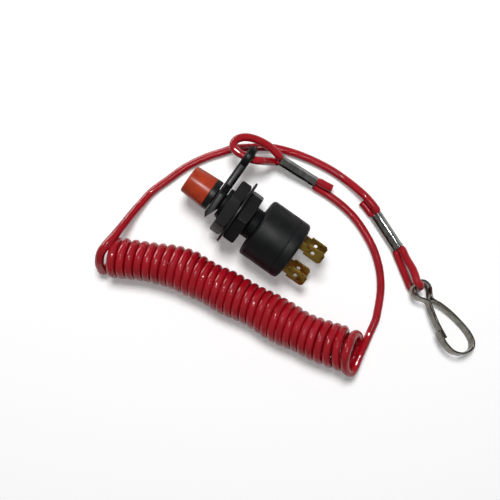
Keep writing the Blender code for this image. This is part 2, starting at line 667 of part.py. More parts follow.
def build_contacts(frame, contact_frame):
    """Contact carrier on the end of the shaft, with its screw, bridges and springs."""
    white = finish("carrier_plastic", (0.60, 0.58, 0.52), 0.5)
    carrier = block(
        "contact_carrier",
        (CARRIER_FRONT, -CARRIER_HALF_WIDTH, -CARRIER_HALF_HEIGHT),
        (CARRIER_REAR, CARRIER_HALF_WIDTH, CARRIER_HALF_HEIGHT), white, contact_frame,
    )
    for name, level, depth in (("run_window", TAB_LEVEL, RUN_WINDOW), ("kill_window", -TAB_LEVEL, KILL_WINDOW)):
        window = block(
            name,
            (WINDOW_FRONT, -2.0 * CARRIER_HALF_WIDTH, level - WINDOW_HALF_HEIGHT),
            (WINDOW_FRONT + depth, 2.0 * CARRIER_HALF_WIDTH, level + WINDOW_HALF_HEIGHT), None, contact_frame,
        )
        cut(carrier, window)
    hub_depth = SHAFT_END_LENGTH
    head_seat = CARRIER_REAR - SCREW_HEAD_HEIGHT - CLEARANCE
    bore = turned("carrier_bore", [
        (CARRIER_FRONT - hub_depth, 0.0), (CARRIER_FRONT - hub_depth, SHAFT_END_RADIUS + CLEARANCE),
        (CARRIER_FRONT + hub_depth, SHAFT_END_RADIUS + CLEARANCE),
        (CARRIER_FRONT + hub_depth, SCREW_BORE_RADIUS), (head_seat, SCREW_BORE_RADIUS),
        (head_seat, SCREW_HEAD_RADIUS + CLEARANCE), (CARRIER_REAR + hub_depth, SCREW_HEAD_RADIUS + CLEARANCE),
        (CARRIER_REAR + hub_depth, 0.0),
    ], None, frame, segments=SMALL_ROUND, on_axis=True)
    cut(carrier, bore)

    steel = finish("screw_steel", (0.55, 0.55, 0.56), 0.3, 1.0)
    under_head = head_seat + CLEARANCE
    turned("carrier_screw", [
        (under_head - SCREW_SHANK_LENGTH, 0.0), (under_head - SCREW_SHANK_LENGTH, SCREW_SHANK_RADIUS),
        (under_head, SCREW_SHANK_RADIUS), (under_head, SCREW_HEAD_RADIUS),
        (under_head + SCREW_HEAD_HEIGHT * 0.6, SCREW_HEAD_RADIUS),
        (under_head + SCREW_HEAD_HEIGHT, SCREW_HEAD_RADIUS * 0.6), (under_head + SCREW_HEAD_HEIGHT, 0.0),
    ], steel, frame, segments=16, on_axis=True)

    copper = finish("bridge_copper", (0.55, 0.30, 0.18), 0.3, 1.0)
    for name, station, level in (("run_bridge", RUN_BRIDGE, TAB_LEVEL), ("kill_bridge", KILL_BRIDGE, -TAB_LEVEL)):
        block(
            name,
            (station, -BRIDGE_HALF_LENGTH, level - BRIDGE_HALF_HEIGHT),
            (station + BRIDGE_THICKNESS, BRIDGE_HALF_LENGTH, level + BRIDGE_HALF_HEIGHT),
            copper, contact_frame,
        )

    spring_steel = finish("spring_steel", (0.5, 0.5, 0.52), 0.3, 1.0)
    spring_front = NECK_FRONT + NECK_WEB + CLEARANCE
    spring(
        "return_spring", spring_front, CARRIER_FRONT - CLEARANCE - spring_front, RETURN_SPRING_TURNS,
        RETURN_SPRING_RADIUS, RETURN_SPRING_WIRE, spring_steel, frame, per_turn=14,
    )
    run_start = RUN_BRIDGE + BRIDGE_THICKNESS + CLEARANCE
    run_length = WINDOW_FRONT + RUN_WINDOW - CLEARANCE - run_start
    spring(
        "run_contact_spring", run_start, run_length, CONTACT_SPRING_TURNS,
        CONTACT_SPRING_RADIUS, CONTACT_SPRING_WIRE, spring_steel, contact_frame, offset=TAB_LEVEL,
    )
    kill_start = WINDOW_FRONT + CLEARANCE
    kill_length = KILL_BRIDGE - CLEARANCE - kill_start
    spring(
        "kill_contact_spring", kill_start, kill_length, CONTACT_SPRING_TURNS,
        CONTACT_SPRING_RADIUS, CONTACT_SPRING_WIRE, spring_steel, contact_frame, offset=-TAB_LEVEL,
    )


def build_ferrule(name, ferrule, pair, material):
    """A crimp rolled from sheet into a flat tube, open along its seam and flared at the loop."""
    start, end = ferrule
    length = (end - start).length
    along = (end - start).normalized()
    across = (pair - along * pair.dot(along)).normalized()
    up = along.cross(across)
    if up.z < 0.0:
        across = -across
        up = -up
    steps = 20
    section = []
    for inset in (0.0, FERRULE_SHEET):
        edge = []
        for step in range(steps + 1):
            angle = math.pi / 2.0 + FERRULE_SEAM + (2.0 * math.pi - 2.0 * FERRULE_SEAM) * step / steps
            edge.append(((FERRULE_HALF_WIDTH - inset) * math.cos(angle), (FERRULE_HALF_HEIGHT - inset) * math.sin(angle)))
        section += edge if inset == 0.0 else reversed(edge)
    bm = bmesh.new()
    rings = []
    for station, scale in ((0.0, FERRULE_FLARE), (FERRULE_FLARE_LENGTH, 1.0), (length, 1.0)):
        rings.append([bm.verts.new((station, u * scale, v * scale)) for u, v in section])
    count = len(section)
    for near, far in zip(rings, rings[1:]):
        for index in range(count):
            following = (index + 1) % count
            bm.faces.new((near[index], near[following], far[following], far[index]))
    bm.faces.new(rings[0])
    bm.faces.new(reversed(rings[-1]))
    obj = add_object(name, bm, material)
    obj.matrix_world = Matrix((
        (along.x, across.x, up.x, start.x),
        (along.y, across.y, up.y, start.y),
        (along.z, across.z, up.z, start.z),
        (0.0, 0.0, 0.0, 1.0),
    ))
    return obj


def hook_line():
    """Middle line of the hook's strip, from the gate's tip round the eye to the nose's tip."""
    gate = [(0.0254, -0.0043), (0.0173, -0.0037), (0.0110, -0.0022), (0.0064, -0.0012)]
    eye = arc((0.0, 0.0), HOOK_EYE_RADIUS, -38.0, -322.0, 10)
    leg = [(0.0062, 0.0014), (0.0110, 0.0034), (0.0165, 0.0053), (0.0247, 0.0069), (0.0320, 0.0073)]
    bend = [(0.0362, 0.0065), (0.0385, 0.0042), (0.0388, 0.0009), (0.0373, -0.0029), (0.0335, -0.0065)]
    nose = [(0.0297, -0.0076), (0.0262, -0.0076), (0.0209, -0.0066)]
    return smooth_path([(l, r, 0.0) for l, r in gate + eye + leg + bend + nose], steps=3)


def build_hook(material):
    """Snap hook: the strip stands on edge, so its width is across the plane of the bends."""
    line = hook_line()
    half_width = STRIP_WIDTH / 2.0
    half_thickness = STRIP_THICKNESS / 2.0
    bm = bmesh.new()
    rings = []
    for index, point in enumerate(line):
        before = line[max(index - 1, 0)]
        after = line[min(index + 1, len(line) - 1)]
        side = (after - before).normalized().cross(Vector((0.0, 0.0, 1.0)))
        ring = []
        for across, height in ((-1, -1), (1, -1), (1, 1), (-1, 1)):
            corner = point + side * across * half_thickness
            ring.append(bm.verts.new((corner.x, corner.y, height * half_width)))
        rings.append(ring)
    for near, far in zip(rings, rings[1:]):
        for index in range(4):
            following = (index + 1) % 4
            bm.faces.new((near[index], near[following], far[following], far[index]))
    bm.faces.new(rings[0])
    bm.faces.new(reversed(rings[-1]))
    hook = add_object("snap_hook", bm, material)
    hook.location = HOOK_EYE_PLACE
    hook.rotation_euler = (HOOK_ROLL, HOOK_PITCH, HOOK_YAW)


def build_lanyard():
    """Red cord with a loop at each end, its coil, the two ferrules and the snap hook."""
    red = finish("cord_red", (0.45, 0.01, 0.02), 0.25)
    nickel = finish("nickel_steel", (0.45, 0.45, 0.43), 0.3, 1.0)
    upper_pass = passage(KEY_FERRULE, KEY_FERRULE_PAIR, 1.0)
    lower_pass = passage(KEY_FERRULE, KEY_FERRULE_PAIR, -1.0)
    key_route = KEY_TAIL + upper_pass[::-1] + KEY_LOOP + lower_pass + KEY_RUN
    cord("lanyard_key_loop", key_route, CORD_DIAMETER, red)
    cord("lanyard_key_run", COIL_KEY_RUN, CORD_DIAMETER, red)
    cord("lanyard_coil", COIL_AXIS, COIL_DIAMETER, red, longest=0.6, sides=4)
    cord("lanyard_hook_run", COIL_HOOK_RUN, CORD_DIAMETER, red)
    tail_pass = passage(HOOK_FERRULE, HOOK_FERRULE_PAIR, 1.0)
    run_pass = passage(HOOK_FERRULE, HOOK_FERRULE_PAIR, -1.0)
    hook_route = HOOK_RUN + run_pass[::-1] + HOOK_LOOP + tail_pass + HOOK_TAIL
    cord("lanyard_hook_loop", hook_route, CORD_DIAMETER, red)
    build_ferrule("key_ferrule", KEY_FERRULE, KEY_FERRULE_PAIR, nickel)
    build_ferrule("hook_ferrule", HOOK_FERRULE, HOOK_FERRULE_PAIR, nickel)
    build_hook(nickel)


def lying_tilt():
    """Angle at which the washer's edge and the housing's rear edge both touch the table."""
    reach = BASE_REAR - HOUSING_EDGE - WASHER_REAR
    drop = WASHER_RADIUS - (HOUSING_RADIUS - HOUSING_EDGE)
    return math.atan2(drop, reach) - math.asin(HOUSING_EDGE / math.hypot(reach, drop))


def stand_on_origin(frame):
    """Moves the switch so that the middle of its underside is at the origin."""
    bpy.context.view_layer.update()
    pieces = [obj for obj in frame.children_recursive if obj.type == "MESH" and not obj.hide_render]
    corners = [obj.matrix_world @ vert.co for obj in pieces for vert in obj.data.vertices]
    low = Vector([min(corner[i] for corner in corners) for i in range(3)])
    high = Vector([max(corner[i] for corner in corners) for i in range(3)])
    middle = (low + high) / 2.0
    frame.location = (-middle.x, -middle.y, -low.z)


def build():
    """Builds the whole object."""
    for obj in list(bpy.data.objects):
        bpy.data.objects.remove(obj, do_unlink=True)
    switch_frame = add_frame("switch_axis")
    switch_frame.rotation_euler = (0.0, lying_tilt(), 0.0)
    contact_frame = add_frame("terminal_axis", switch_frame)
    contact_frame.rotation_euler = (TAB_TURN, 0.0, 0.0)
    build_button(switch_frame)
    build_key(switch_frame)
    build_neck_fittings(switch_frame)
    build_housing(switch_frame, contact_frame)
    build_terminals(contact_frame)
    build_contacts(switch_frame, contact_frame)
    stand_on_origin(switch_frame)
    build_lanyard()


build()
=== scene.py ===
import math

import bpy
from mathutils import Matrix, Vector


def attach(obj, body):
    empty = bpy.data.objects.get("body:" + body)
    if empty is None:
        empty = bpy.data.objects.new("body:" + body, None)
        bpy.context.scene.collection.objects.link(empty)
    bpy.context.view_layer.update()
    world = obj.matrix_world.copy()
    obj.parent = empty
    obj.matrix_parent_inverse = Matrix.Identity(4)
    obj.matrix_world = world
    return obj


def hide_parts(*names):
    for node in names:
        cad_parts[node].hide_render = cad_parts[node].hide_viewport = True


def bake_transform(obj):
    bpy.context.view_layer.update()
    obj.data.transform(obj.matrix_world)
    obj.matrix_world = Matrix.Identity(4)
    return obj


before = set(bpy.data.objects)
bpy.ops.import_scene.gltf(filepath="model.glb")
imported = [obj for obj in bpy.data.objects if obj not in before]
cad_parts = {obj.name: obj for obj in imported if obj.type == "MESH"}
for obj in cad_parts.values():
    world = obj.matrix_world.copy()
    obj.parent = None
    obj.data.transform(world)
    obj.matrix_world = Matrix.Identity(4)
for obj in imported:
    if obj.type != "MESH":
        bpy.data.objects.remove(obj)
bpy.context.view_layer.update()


# Camera. The photograph looks straight down on the table from about half a metre,
# with the switch turned so that its button points up and to the left.
camera_data = bpy.data.cameras.new("camera")
camera_data.lens = 72.0
camera_data.sensor_width = 36.0
camera = bpy.data.objects.new("camera", camera_data)
camera.location = (0.0067, -0.0183, 0.503)
camera.rotation_euler = (0.0, 0.0, math.radians(35.2))
bpy.context.scene.collection.objects.link(camera)
bpy.context.scene.camera = camera
bpy.context.scene.view_settings.view_transform = "Standard"


# Lanyard cord. One piece of thin red cord, a braided core in a glossy soft plastic skin, about 2.2 m long.
# It is wound hot on a mandrel, so its middle keeps the shape of a coil, and each end is turned back
# through a ferrule into a loop: one in the key's eye, the other in the snap hook's eye.
CORD_DIAMETER = 0.0038
CORD_SIDES = 16
CORD_STEP = 0.0012
CUT_END_SCALE = 0.86
CUT_END_SHARE = 0.3
COIL_RADIUS = 0.0081
COIL_TURNS = 30
COIL_FAR = Vector((-0.577, 0.817, 0.0))
COIL_RIGHT = Vector((0.817, 0.577, 0.0))
COIL_LEANS = ((0.0, 22.0), (1.0, 9.0))
AXIS_STEP = 0.0005
AXIS_REACH = 4
COIL_SPREAD = (
    (0.0, 0.021), (0.05, 0.0236), (0.12, 0.0258), (0.2, 0.0223), (0.35, 0.0116), (0.5, 0.0047),
    (0.65, -0.0086), (0.78, -0.0172), (0.9, -0.018), (1.0, -0.0155),
)
COIL_WIDTHS = (
    (0.0, 0.0092), (0.07, 0.0092), (0.14, 0.0086), (0.18, 0.0083), (0.245, 0.0092), (0.31, 0.0093),
    (0.38, 0.0085), (0.42, 0.0084), (0.485, 0.0091), (0.52, 0.0092), (0.59, 0.0085), (0.62, 0.0085),
    (0.69, 0.0092), (0.725, 0.0090), (0.79, 0.0087), (0.84, 0.0080), (0.9, 0.0080), (1.0, 0.0082),
)
COIL_START = 4
COIL_SWINGS = ((0.0, 13.0), (0.06, 22.0), (0.3, 24.0), (0.6, 24.0), (1.0, 14.5))
CORD_SCALES = (
    (0.0, 1.05), (0.01, 1.20), (0.02, 1.20), (0.04, 1.13), (0.15, 1.11), (0.3, 1.08),
    (0.6, 1.08), (0.8, 1.12), (0.96, 1.14), (0.99, 1.20), (1.0, 1.05),
)
POINTS_PER_TURN = 18
KEY_FERRULE = (Vector((-0.0067, 0.0263, 0.0088)), Vector((0.0137, 0.0277, 0.0044)))
KEY_FERRULE_PAIR = Vector((0.0, math.cos(math.radians(48.0)), math.sin(math.radians(48.0))))
HOOK_FERRULE = (Vector((0.0663, 0.0249, 0.00345)), Vector((0.0477, 0.0323, 0.00345)))
HOOK_FERRULE_PAIR = Vector((-0.262, -0.658, -0.707))
CRIMP_GAP = 0.0003
CRIMPED_SCALE = 0.70
CRIMPED_OFFSET = 0.00131
LOOSE_OFFSET = 0.0020
CRIMP_TAPER = 0.0011
KEY_TAIL = [(0.0225, 0.0302, 0.0052), (0.0196, 0.0297, 0.0053)]
KEY_LOOP = [
    (-0.0131, 0.0286, 0.0122), (-0.0168, 0.0285, 0.0136), (-0.0210, 0.0278, 0.0148),
    (-0.0254, 0.0262, 0.0156), (-0.0286, 0.0236, 0.0164), (-0.0299, 0.0204, 0.0171),
    (-0.0287, 0.0179, 0.0175), (-0.0260, 0.0171, 0.0176), (-0.0230, 0.0173, 0.0176),
    (-0.0199, 0.0177, 0.0176), (-0.0168, 0.0186, 0.0174), (-0.0140, 0.0202, 0.0163),
    (-0.0119, 0.0218, 0.0126),
]
KEY_RUN = [
    (0.0235, 0.0268, 0.0019), (0.0328, 0.0264, 0.0019), (0.0407, 0.0249, 0.0019),
    (0.0491, 0.0218, 0.0019), (0.0575, 0.0174, 0.0019), (0.0655, 0.0109, 0.0019),
    (0.0717, 0.0031, 0.0019), (0.0763, -0.0059, 0.0019), (0.0783, -0.0107, 0.0019),
]
FIRST_TURN = [
    (0.0795, -0.0167, 0.0020), (0.0806, -0.0226, 0.0030), (0.0813, -0.0277, 0.0048),
    (0.0823, -0.0328, 0.0058), (0.0830, -0.0364, 0.0066), (0.0829, -0.0387, 0.0082),
    (0.0815, -0.0396, 0.0100), (0.0789, -0.0393, 0.0136), (0.0764, -0.0373, 0.0166),
    (0.0744, -0.0345, 0.0189), (0.0731, -0.0314, 0.0197), (0.0720, -0.0269, 0.0182),
    (0.0721, -0.0240, 0.0145), (0.0733, -0.0221, 0.0105), (0.0762, -0.0227, 0.0055),
    (0.0785, -0.0263, 0.0022), (0.0797, -0.0300, 0.0019), (0.0802, -0.0336, 0.0024),
    (0.0795, -0.0368, 0.0045),
]
COIL_AXIS = [
    (0.0762, -0.0305, 0.0100), (0.0706, -0.0321, 0.0100), (0.0570, -0.0357, 0.0100),
    (0.0417, -0.0380, 0.0100), (0.0263, -0.0395, 0.0100), (0.0112, -0.0417, 0.0100),
    (-0.0038, -0.0437, 0.0100), (-0.0163, -0.0457, 0.0100), (-0.0302, -0.0516, 0.0100),
    (-0.0416, -0.0576, 0.0100), (-0.0489, -0.0614, 0.0100),
]
LAST_TURN = [
    (-0.0469, -0.0686, 0.0060), (-0.0489, -0.0675, 0.0100), (-0.0503, -0.0655, 0.0135),
    (-0.0518, -0.0608, 0.0170), (-0.0517, -0.0562, 0.0174), (-0.0514, -0.0510, 0.0152),
    (-0.0514, -0.0444, 0.0110), (-0.0515, -0.0374, 0.0070), (-0.0511, -0.0304, 0.0040),
    (-0.0503, -0.0231, 0.0024),
]
HOOK_RUN = [
    (-0.0471, -0.0132, 0.0019), (-0.0435, -0.0030, 0.0019), (-0.0382, 0.0067, 0.0019),
    (-0.0330, 0.0137, 0.0019), (-0.0299, 0.0178, 0.0019), (-0.0229, 0.0237, 0.0019),
    (-0.0143, 0.0297, 0.0019), (-0.0051, 0.0335, 0.0019), (0.0052, 0.0362, 0.0019),
    (0.0163, 0.0378, 0.0019), (0.0235, 0.0380, 0.0022), (0.0310, 0.0376, 0.0035),
    (0.0395, 0.0364, 0.0049),
]
HOOK_LOOP = [
    (0.0725, 0.0231, 0.0062), (0.0779, 0.0202, 0.0094), (0.0809, 0.0179, 0.0111),
    (0.0832, 0.0161, 0.0115), (0.0849, 0.0160, 0.0110), (0.0857, 0.0155, 0.0097),
    (0.0858, 0.0148, 0.0080), (0.0857, 0.0141, 0.0066), (0.0855, 0.0135, 0.0052),
    (0.0850, 0.0129, 0.0038), (0.0841, 0.0127, 0.0028), (0.0830, 0.0128, 0.0023),
    (0.0800, 0.0147, 0.0019), (0.0738, 0.0186, 0.0019),
]
HOOK_TAIL = [(0.0425, 0.0326, 0.0019), (0.0385, 0.0336, 0.0019)]
SCALED_ENDS = (FIRST_TURN[4], LAST_TURN[-3])


class Shade:
    """A shader value: sums with it add the nodes that work them out."""

    def __init__(self, tree, socket=None):
        self.tree = tree
        self.socket = socket

    def node(self, kind, settings=None, inputs=None, output=0):
        """Adds a node, with its settings first and then the values or links of its sockets."""
        new = self.tree.nodes.new(kind)
        for name, value in (settings or {}).items():
            setattr(new, name, value)
        self.feed(new, inputs or {})
        return Shade(self.tree, new.outputs[output])

    def feed(self, node, inputs):
        """Sets or links the sockets of a node."""
        for key, value in inputs.items():
            if isinstance(value, Shade):
                self.tree.links.new(value.socket, node.inputs[key])
            else:
                node.inputs[key].default_value = value

    def math(self, operation, *values):
        return self.node("ShaderNodeMath", {"operation": operation}, dict(enumerate(values)))

    def __add__(self, other):
        return self.math("ADD", self, other)

    def __sub__(self, other):
        return self.math("SUBTRACT", self, other)

    def __rsub__(self, other):
        return self.math("SUBTRACT", other, self)

    def __mul__(self, other):
        return self.math("MULTIPLY", self, other)

    __radd__ = __add__
    __rmul__ = __mul__

    def step(self, low, high):
        """0 below low, 1 above high and smooth between them."""
        settings = {"interpolation_type": "SMOOTHSTEP"}
        return self.node("ShaderNodeMapRange", settings, {"Value": self, "From Min": low, "From Max": high})

    def noise(self, place, scale, detail=2.0, roughness=0.5):
        """Clouds of light and dark about 1 / scale metres across."""
        settings = {"noise_dimensions": "3D"}
        inputs = {"Vector": place, "Scale": scale, "Detail": detail, "Roughness": roughness}
        return self.node("ShaderNodeTexNoise", settings, inputs)

    def blend(self, factor, first, second):
        """A colour between two others."""
        settings = {"data_type": "RGBA", "clamp_factor": True}
        return self.node("ShaderNodeMix", settings, {0: factor, 6: first, 7: second}, output=2)

    def place(self, stretch=(1.0, 1.0, 1.0), turn=(0.0, 0.0, 0.0)):
        """Object coordinates, turned and stretched."""
        place = self.node("ShaderNodeTexCoord", output=3)
        inputs = {"Vector": place, "Rotation": turn, "Scale": stretch}
        return self.node("ShaderNodeMapping", {"vector_type": "POINT"}, inputs)

    def bump(self, height, strength, distance):
        """A surface normal from a height."""
        return self.node("ShaderNodeBump", {}, {"Height": height, "Strength": strength, "Distance": distance})


def colour(red, green, blue):
    """A shader colour from the values that a paint chart gives, 0 to 255."""
    chart = [value / 255.0 for value in (red, green, blue)]
    return (*[v / 12.92 if v <= 0.04045 else ((v + 0.055) / 1.055) ** 2.4 for v in chart], 1.0)


def new_finish(name, fixed, pattern):
    """A material: fixed holds its plain values, and pattern adds what changes over the surface."""
    material = bpy.data.materials.new(name)
    material.use_nodes = True
    surface = material.node_tree.nodes["Principled BSDF"]
    pen = Shade(material.node_tree)
    pen.feed(surface, fixed)
    pen.feed(surface, pattern(pen))
    return material


def smooth_path(route, step=CORD_STEP):
    """Close points on a smooth curve through the points of a route."""
    knots = [Vector(point) for point in route]
    knots = [2.0 * knots[0] - knots[1]] + knots + [2.0 * knots[-1] - knots[-2]]
    dense = []
    for index in range(1, len(knots) - 2):
        p0, p1, p2, p3 = knots[index - 1:index + 3]
        t1 = (p1 - p0).length ** 0.5
        t2 = t1 + (p2 - p1).length ** 0.5
        t3 = t2 + (p3 - p2).length ** 0.5
        count = max(1, math.ceil((p2 - p1).length / step))
        for part in range(count):
            t = t1 + (t2 - t1) * part / count
            a1 = p0.lerp(p1, t / t1)
            a2 = p1.lerp(p2, (t - t1) / (t2 - t1))
            a3 = p2.lerp(p3, (t - t2) / (t3 - t2))
            b1 = a1.lerp(a2, t / t2)
            b2 = a2.lerp(a3, (t - t1) / (t3 - t1))
            dense.append(b1.lerp(b2, (t - t1) / (t2 - t1)))
    dense.append(knots[-2])
    return dense


def crimp(point):
    """How far the cord is squeezed at a point: less than 1 inside a ferrule."""
    scale = 1.0
    for start, end in (KEY_FERRULE, HOOK_FERRULE):
        along = (end - start).normalized()
        station = (point - start).dot(along)
        outside = max(-station - CRIMP_GAP, station - (end - start).length - CRIMP_GAP, 0.0)
        off_axis = (point - start - along * station).length
        if outside < CRIMP_TAPER and off_axis < 2.0 * LOOSE_OFFSET:
            scale = CRIMPED_SCALE + (1.0 - CRIMPED_SCALE) * outside / CRIMP_TAPER
    return scale


def passage(ferrule, pair, side):
    """Route points of one strand through a ferrule, from its loop end to its other end."""
    start, end = ferrule
    along = (end - start).normalized()
    across = (pair - along * pair.dot(along)).normalized() * side
    return [
        start - along * CRIMP_TAPER + across * LOOSE_OFFSET,
        start + across * CRIMPED_OFFSET,
        start + along * CRIMP_TAPER + across * CRIMPED_OFFSET,
        end - along * CRIMP_TAPER + across * CRIMPED_OFFSET,
        end + across * CRIMPED_OFFSET,
        end + along * CRIMP_TAPER + across * LOOSE_OFFSET,
    ]


def between(table, place):
    """The value that a table of (place, value) gives at a place."""
    for (start, first), (end, last) in zip(table, table[1:]):
        if place <= end:
            return first + (last - first) * (place - start) / (end - start)
    return table[-1][1]


def coil_route():
    """Points of the regular turns, from the bottom of the right-hand end to the bottom of the left-hand end.
    The tables go by the share of the coil: COIL_SPREAD pushes a turn along the axis, COIL_WIDTHS holds its
    half width, and COIL_SWINGS and COIL_LEANS turn it aside and tip its top forwards, in degrees."""
    axis = smooth_path(COIL_AXIS, AXIS_STEP)
    travel = [0.0]
    for before, after in zip(axis, axis[1:]):
        travel.append(travel[-1] + (after - before).length)
    upright = Vector((0.0, 0.0, 1.0))
    points = []
    index = 0
    count = COIL_TURNS * POINTS_PER_TURN
    for number in range(count + 1):
        share = number / count
        along = (share + between(COIL_SPREAD, share)) * travel[-1]
        while index < len(travel) - 2 and travel[index + 1] < along:
            index += 1
        part = (along - travel[index]) / (travel[index + 1] - travel[index])
        centre = axis[index].lerp(axis[index + 1], part)
        ahead, behind = min(index + AXIS_REACH, len(axis) - 1), max(index - AXIS_REACH, 0)
        forward = (axis[ahead] - axis[behind]).normalized()
        swing = math.radians(between(COIL_SWINGS, share))
        lean = math.tan(math.radians(between(COIL_LEANS, share)))
        far = COIL_FAR * math.cos(swing) + COIL_RIGHT * math.sin(swing)
        turn = 2.0 * math.pi * number / POINTS_PER_TURN - math.pi / 2.0
        points.append(centre - far * between(COIL_WIDTHS, share) * math.cos(turn)
                      + (upright + forward * lean) * COIL_RADIUS * math.sin(turn))
    return points


def cord_route():
    """The whole cord, from its tail at the key's ferrule to its tail at the hook's ferrule."""
    route = KEY_TAIL + passage(KEY_FERRULE, KEY_FERRULE_PAIR, 1.0)[::-1] + KEY_LOOP
    route += passage(KEY_FERRULE, KEY_FERRULE_PAIR, -1.0) + KEY_RUN + FIRST_TURN
    route += coil_route()[COIL_START:] + LAST_TURN + HOOK_RUN
    route += passage(HOOK_FERRULE, HOOK_FERRULE_PAIR, -1.0)[::-1] + HOOK_LOOP
    route += passage(HOOK_FERRULE, HOOK_FERRULE_PAIR, 1.0) + HOOK_TAIL
    dense = smooth_path(route)
    for point in dense:
        point.z = max(point.z, CORD_DIAMETER / 2.0)
    return dense


def cord_skin(pen):
    """Glossy soft plastic: faint marks of the braid under it, and fine scuffs."""
    straight = pen.node("ShaderNodeAttribute", {"attribute_name": "straight"}, output=1)
    cloud = pen.noise(straight, 90.0, 3.0)
    braid = pen.node("ShaderNodeTexWave", {"wave_type": "BANDS", "bands_direction": "DIAGONAL"},
                     {"Vector": straight, "Scale": 260.0, "Distortion": 1.5})
    scuff = pen.noise(straight, 1400.0, 4.0, 0.6)
    deep = pen.blend(cloud.step(0.35, 0.65), colour(154, 10, 25), colour(168, 18, 33))
    skin = pen.blend(braid * 0.12, deep, colour(146, 8, 21))
    return {
        "Base Color": skin,
        "Roughness": 0.05 + 0.05 * scuff.step(0.45, 0.75),
        "Normal": pen.bump(cloud + braid * 0.10, 0.02, 0.0003),
    }


def unpick():
    """Deselects every object."""
    bpy.ops.object.select_all(action="DESELECT")


def pick(piece):
    """Makes a piece the only one selected."""
    unpick()
    piece.select_set(True)
    bpy.context.view_layer.objects.active = piece


def smooth(angle=32.0):
    """Shades the picked piece smooth, except along edges sharper than an angle in degrees."""
    bpy.ops.object.shade_smooth_by_angle(angle=math.radians(angle))


def build_cord():
    """A tube along the route, with its cut ends slightly rounded. It is thinner where a ferrule squeezes it, and
    a little thicker in the coil, where CORD_SCALES runs from one of SCALED_ENDS to the other."""
    path = cord_route()
    first, last = [
        min(range(len(path)), key=lambda index: (path[index] - Vector(end)).length) for end in SCALED_ENDS
    ]
    scales = []
    for index, point in enumerate(path):
        share = min(1.0, max(0.0, (index - first) / (last - first)))
        scales.append(crimp(point) * between(CORD_SCALES, share))
        point.z = max(point.z, scales[-1] * CORD_DIAMETER / 2.0)
    for end, inner, rim in ((0, 1, 1), (-1, -2, -1)):
        path.insert(rim, path[end].lerp(path[inner], CUT_END_SHARE))
        scales.insert(rim, scales[end])
        scales[end] *= CUT_END_SCALE
    curve = bpy.data.curves.new("lanyard_cord", "CURVE")
    curve.dimensions = "3D"
    curve.bevel_depth = CORD_DIAMETER / 2.0
    curve.bevel_resolution = (CORD_SIDES - 4) // 2
    curve.use_fill_caps = True
    spline = curve.splines.new("POLY")
    spline.points.add(len(path) - 1)
    for point, place, scale in zip(spline.points, path, scales):
        point.co = (*place, 1.0)
        point.radius = scale
    cord = bpy.data.objects.new("lanyard_cord", curve)
    bpy.context.scene.collection.objects.link(cord)
    pick(cord)
    bpy.ops.object.convert(target="MESH")
    cord = bpy.context.object
    smooth(50.0)
    cord.data.materials.clear()
    cord.data.materials.append(new_finish("cord_red", {"Specular IOR Level": 0.5}, cord_skin))
    travel = [0.0]
    for before, after in zip(path, path[1:]):
        travel.append(travel[-1] + (after - before).length)
    straight = cord.data.attributes.new("straight", "FLOAT_VECTOR", "POINT")
    for index, vert in enumerate(cord.data.vertices):
        ring = min(index // CORD_SIDES, len(path) - 1)
        angle = 2.0 * math.pi * (index % CORD_SIDES) / CORD_SIDES
        across = CORD_DIAMETER / 2.0 * math.cos(angle)
        upright = CORD_DIAMETER / 2.0 * math.sin(angle)
        straight.data[index].vector = (across, upright, travel[ring])
    return cord, path


cord, cord_path = build_cord()
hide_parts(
    "lanyard_key_loop", "lanyard_key_run", "lanyard_coil", "lanyard_hook_run", "lanyard_hook_loop",
)
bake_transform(cord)


# Housing. Glass-filled black nylon, moulded in one piece with its threaded neck: a round cup that holds the
# contacts, and a hollow neck with a coarse thread that goes through the hole in the panel.
SWITCH_TILT = math.radians(2.922032)
SWITCH_PLACE = Matrix.Translation((-0.037706, -0.0070, 0.018469)) @ Matrix.Rotation(SWITCH_TILT, 4, "Y")
ROUND_SIDES = 96
WELD = 0.000002
NECK_FRONT = 0.0202
NECK_RADIUS = 0.00807
NECK_ROOT = 0.00780
NECK_EDGE = 0.0003
THREAD_PITCH = 0.00115
THREAD_LEAD_IN = 0.0007
THREAD_BEDDING = 0.0002
THREAD_SPARES = (0.0005, 0.0004)
LEAD_IN_DROP = 0.0001
SLEEVE_INSET = 0.0006
OVERCUT = 0.0002
THREAD_STEPS = 72
THREAD_TOOTH = ((0.0, False), (0.12, False), (0.45, True), (0.60, True), (0.93, False), (1.0, False))
NECK_WEB = 0.0034
SHAFT_BORE = 0.0046
SPRING_BORE = 0.0061
SEAL_GROOVE = 0.0057
SEAL_GROOVE_WIDTH = 0.0015
HOUSING_FRONT = 0.0402
HOUSING_REAR = 0.05652
HOUSING_RADIUS = 0.0154
HOUSING_EDGE = 0.0019
HOUSING_RIM = 0.0016
FACE_RING = 0.0008
JOINT_EDGE = 0.00018
CAVITY_FRONT = 0.0432
CAVITY_RADIUS = 0.0132
CAVITY_EDGE = 0.0006


def mark_all():
    """Selects all of the mesh in edit mode."""
    bpy.ops.mesh.select_all(action="SELECT")


def start_edit(piece):
    """Opens a piece in edit mode with everything on it selected."""
    pick(piece)
    bpy.ops.object.mode_set(mode="EDIT")
    mark_all()


def close_edit():
    """Leaves edit mode."""
    bpy.ops.object.mode_set(mode="OBJECT")


def face_outwards():
    """Points all the faces of the piece in edit mode outwards, and leaves edit mode."""
    mark_all()
    bpy.ops.mesh.normals_make_consistent(inside=False)
    close_edit()


def settle():
    """Moves the picked piece's place, turn and size into its mesh."""
    bpy.ops.object.transform_apply(location=True, rotation=True, scale=True)


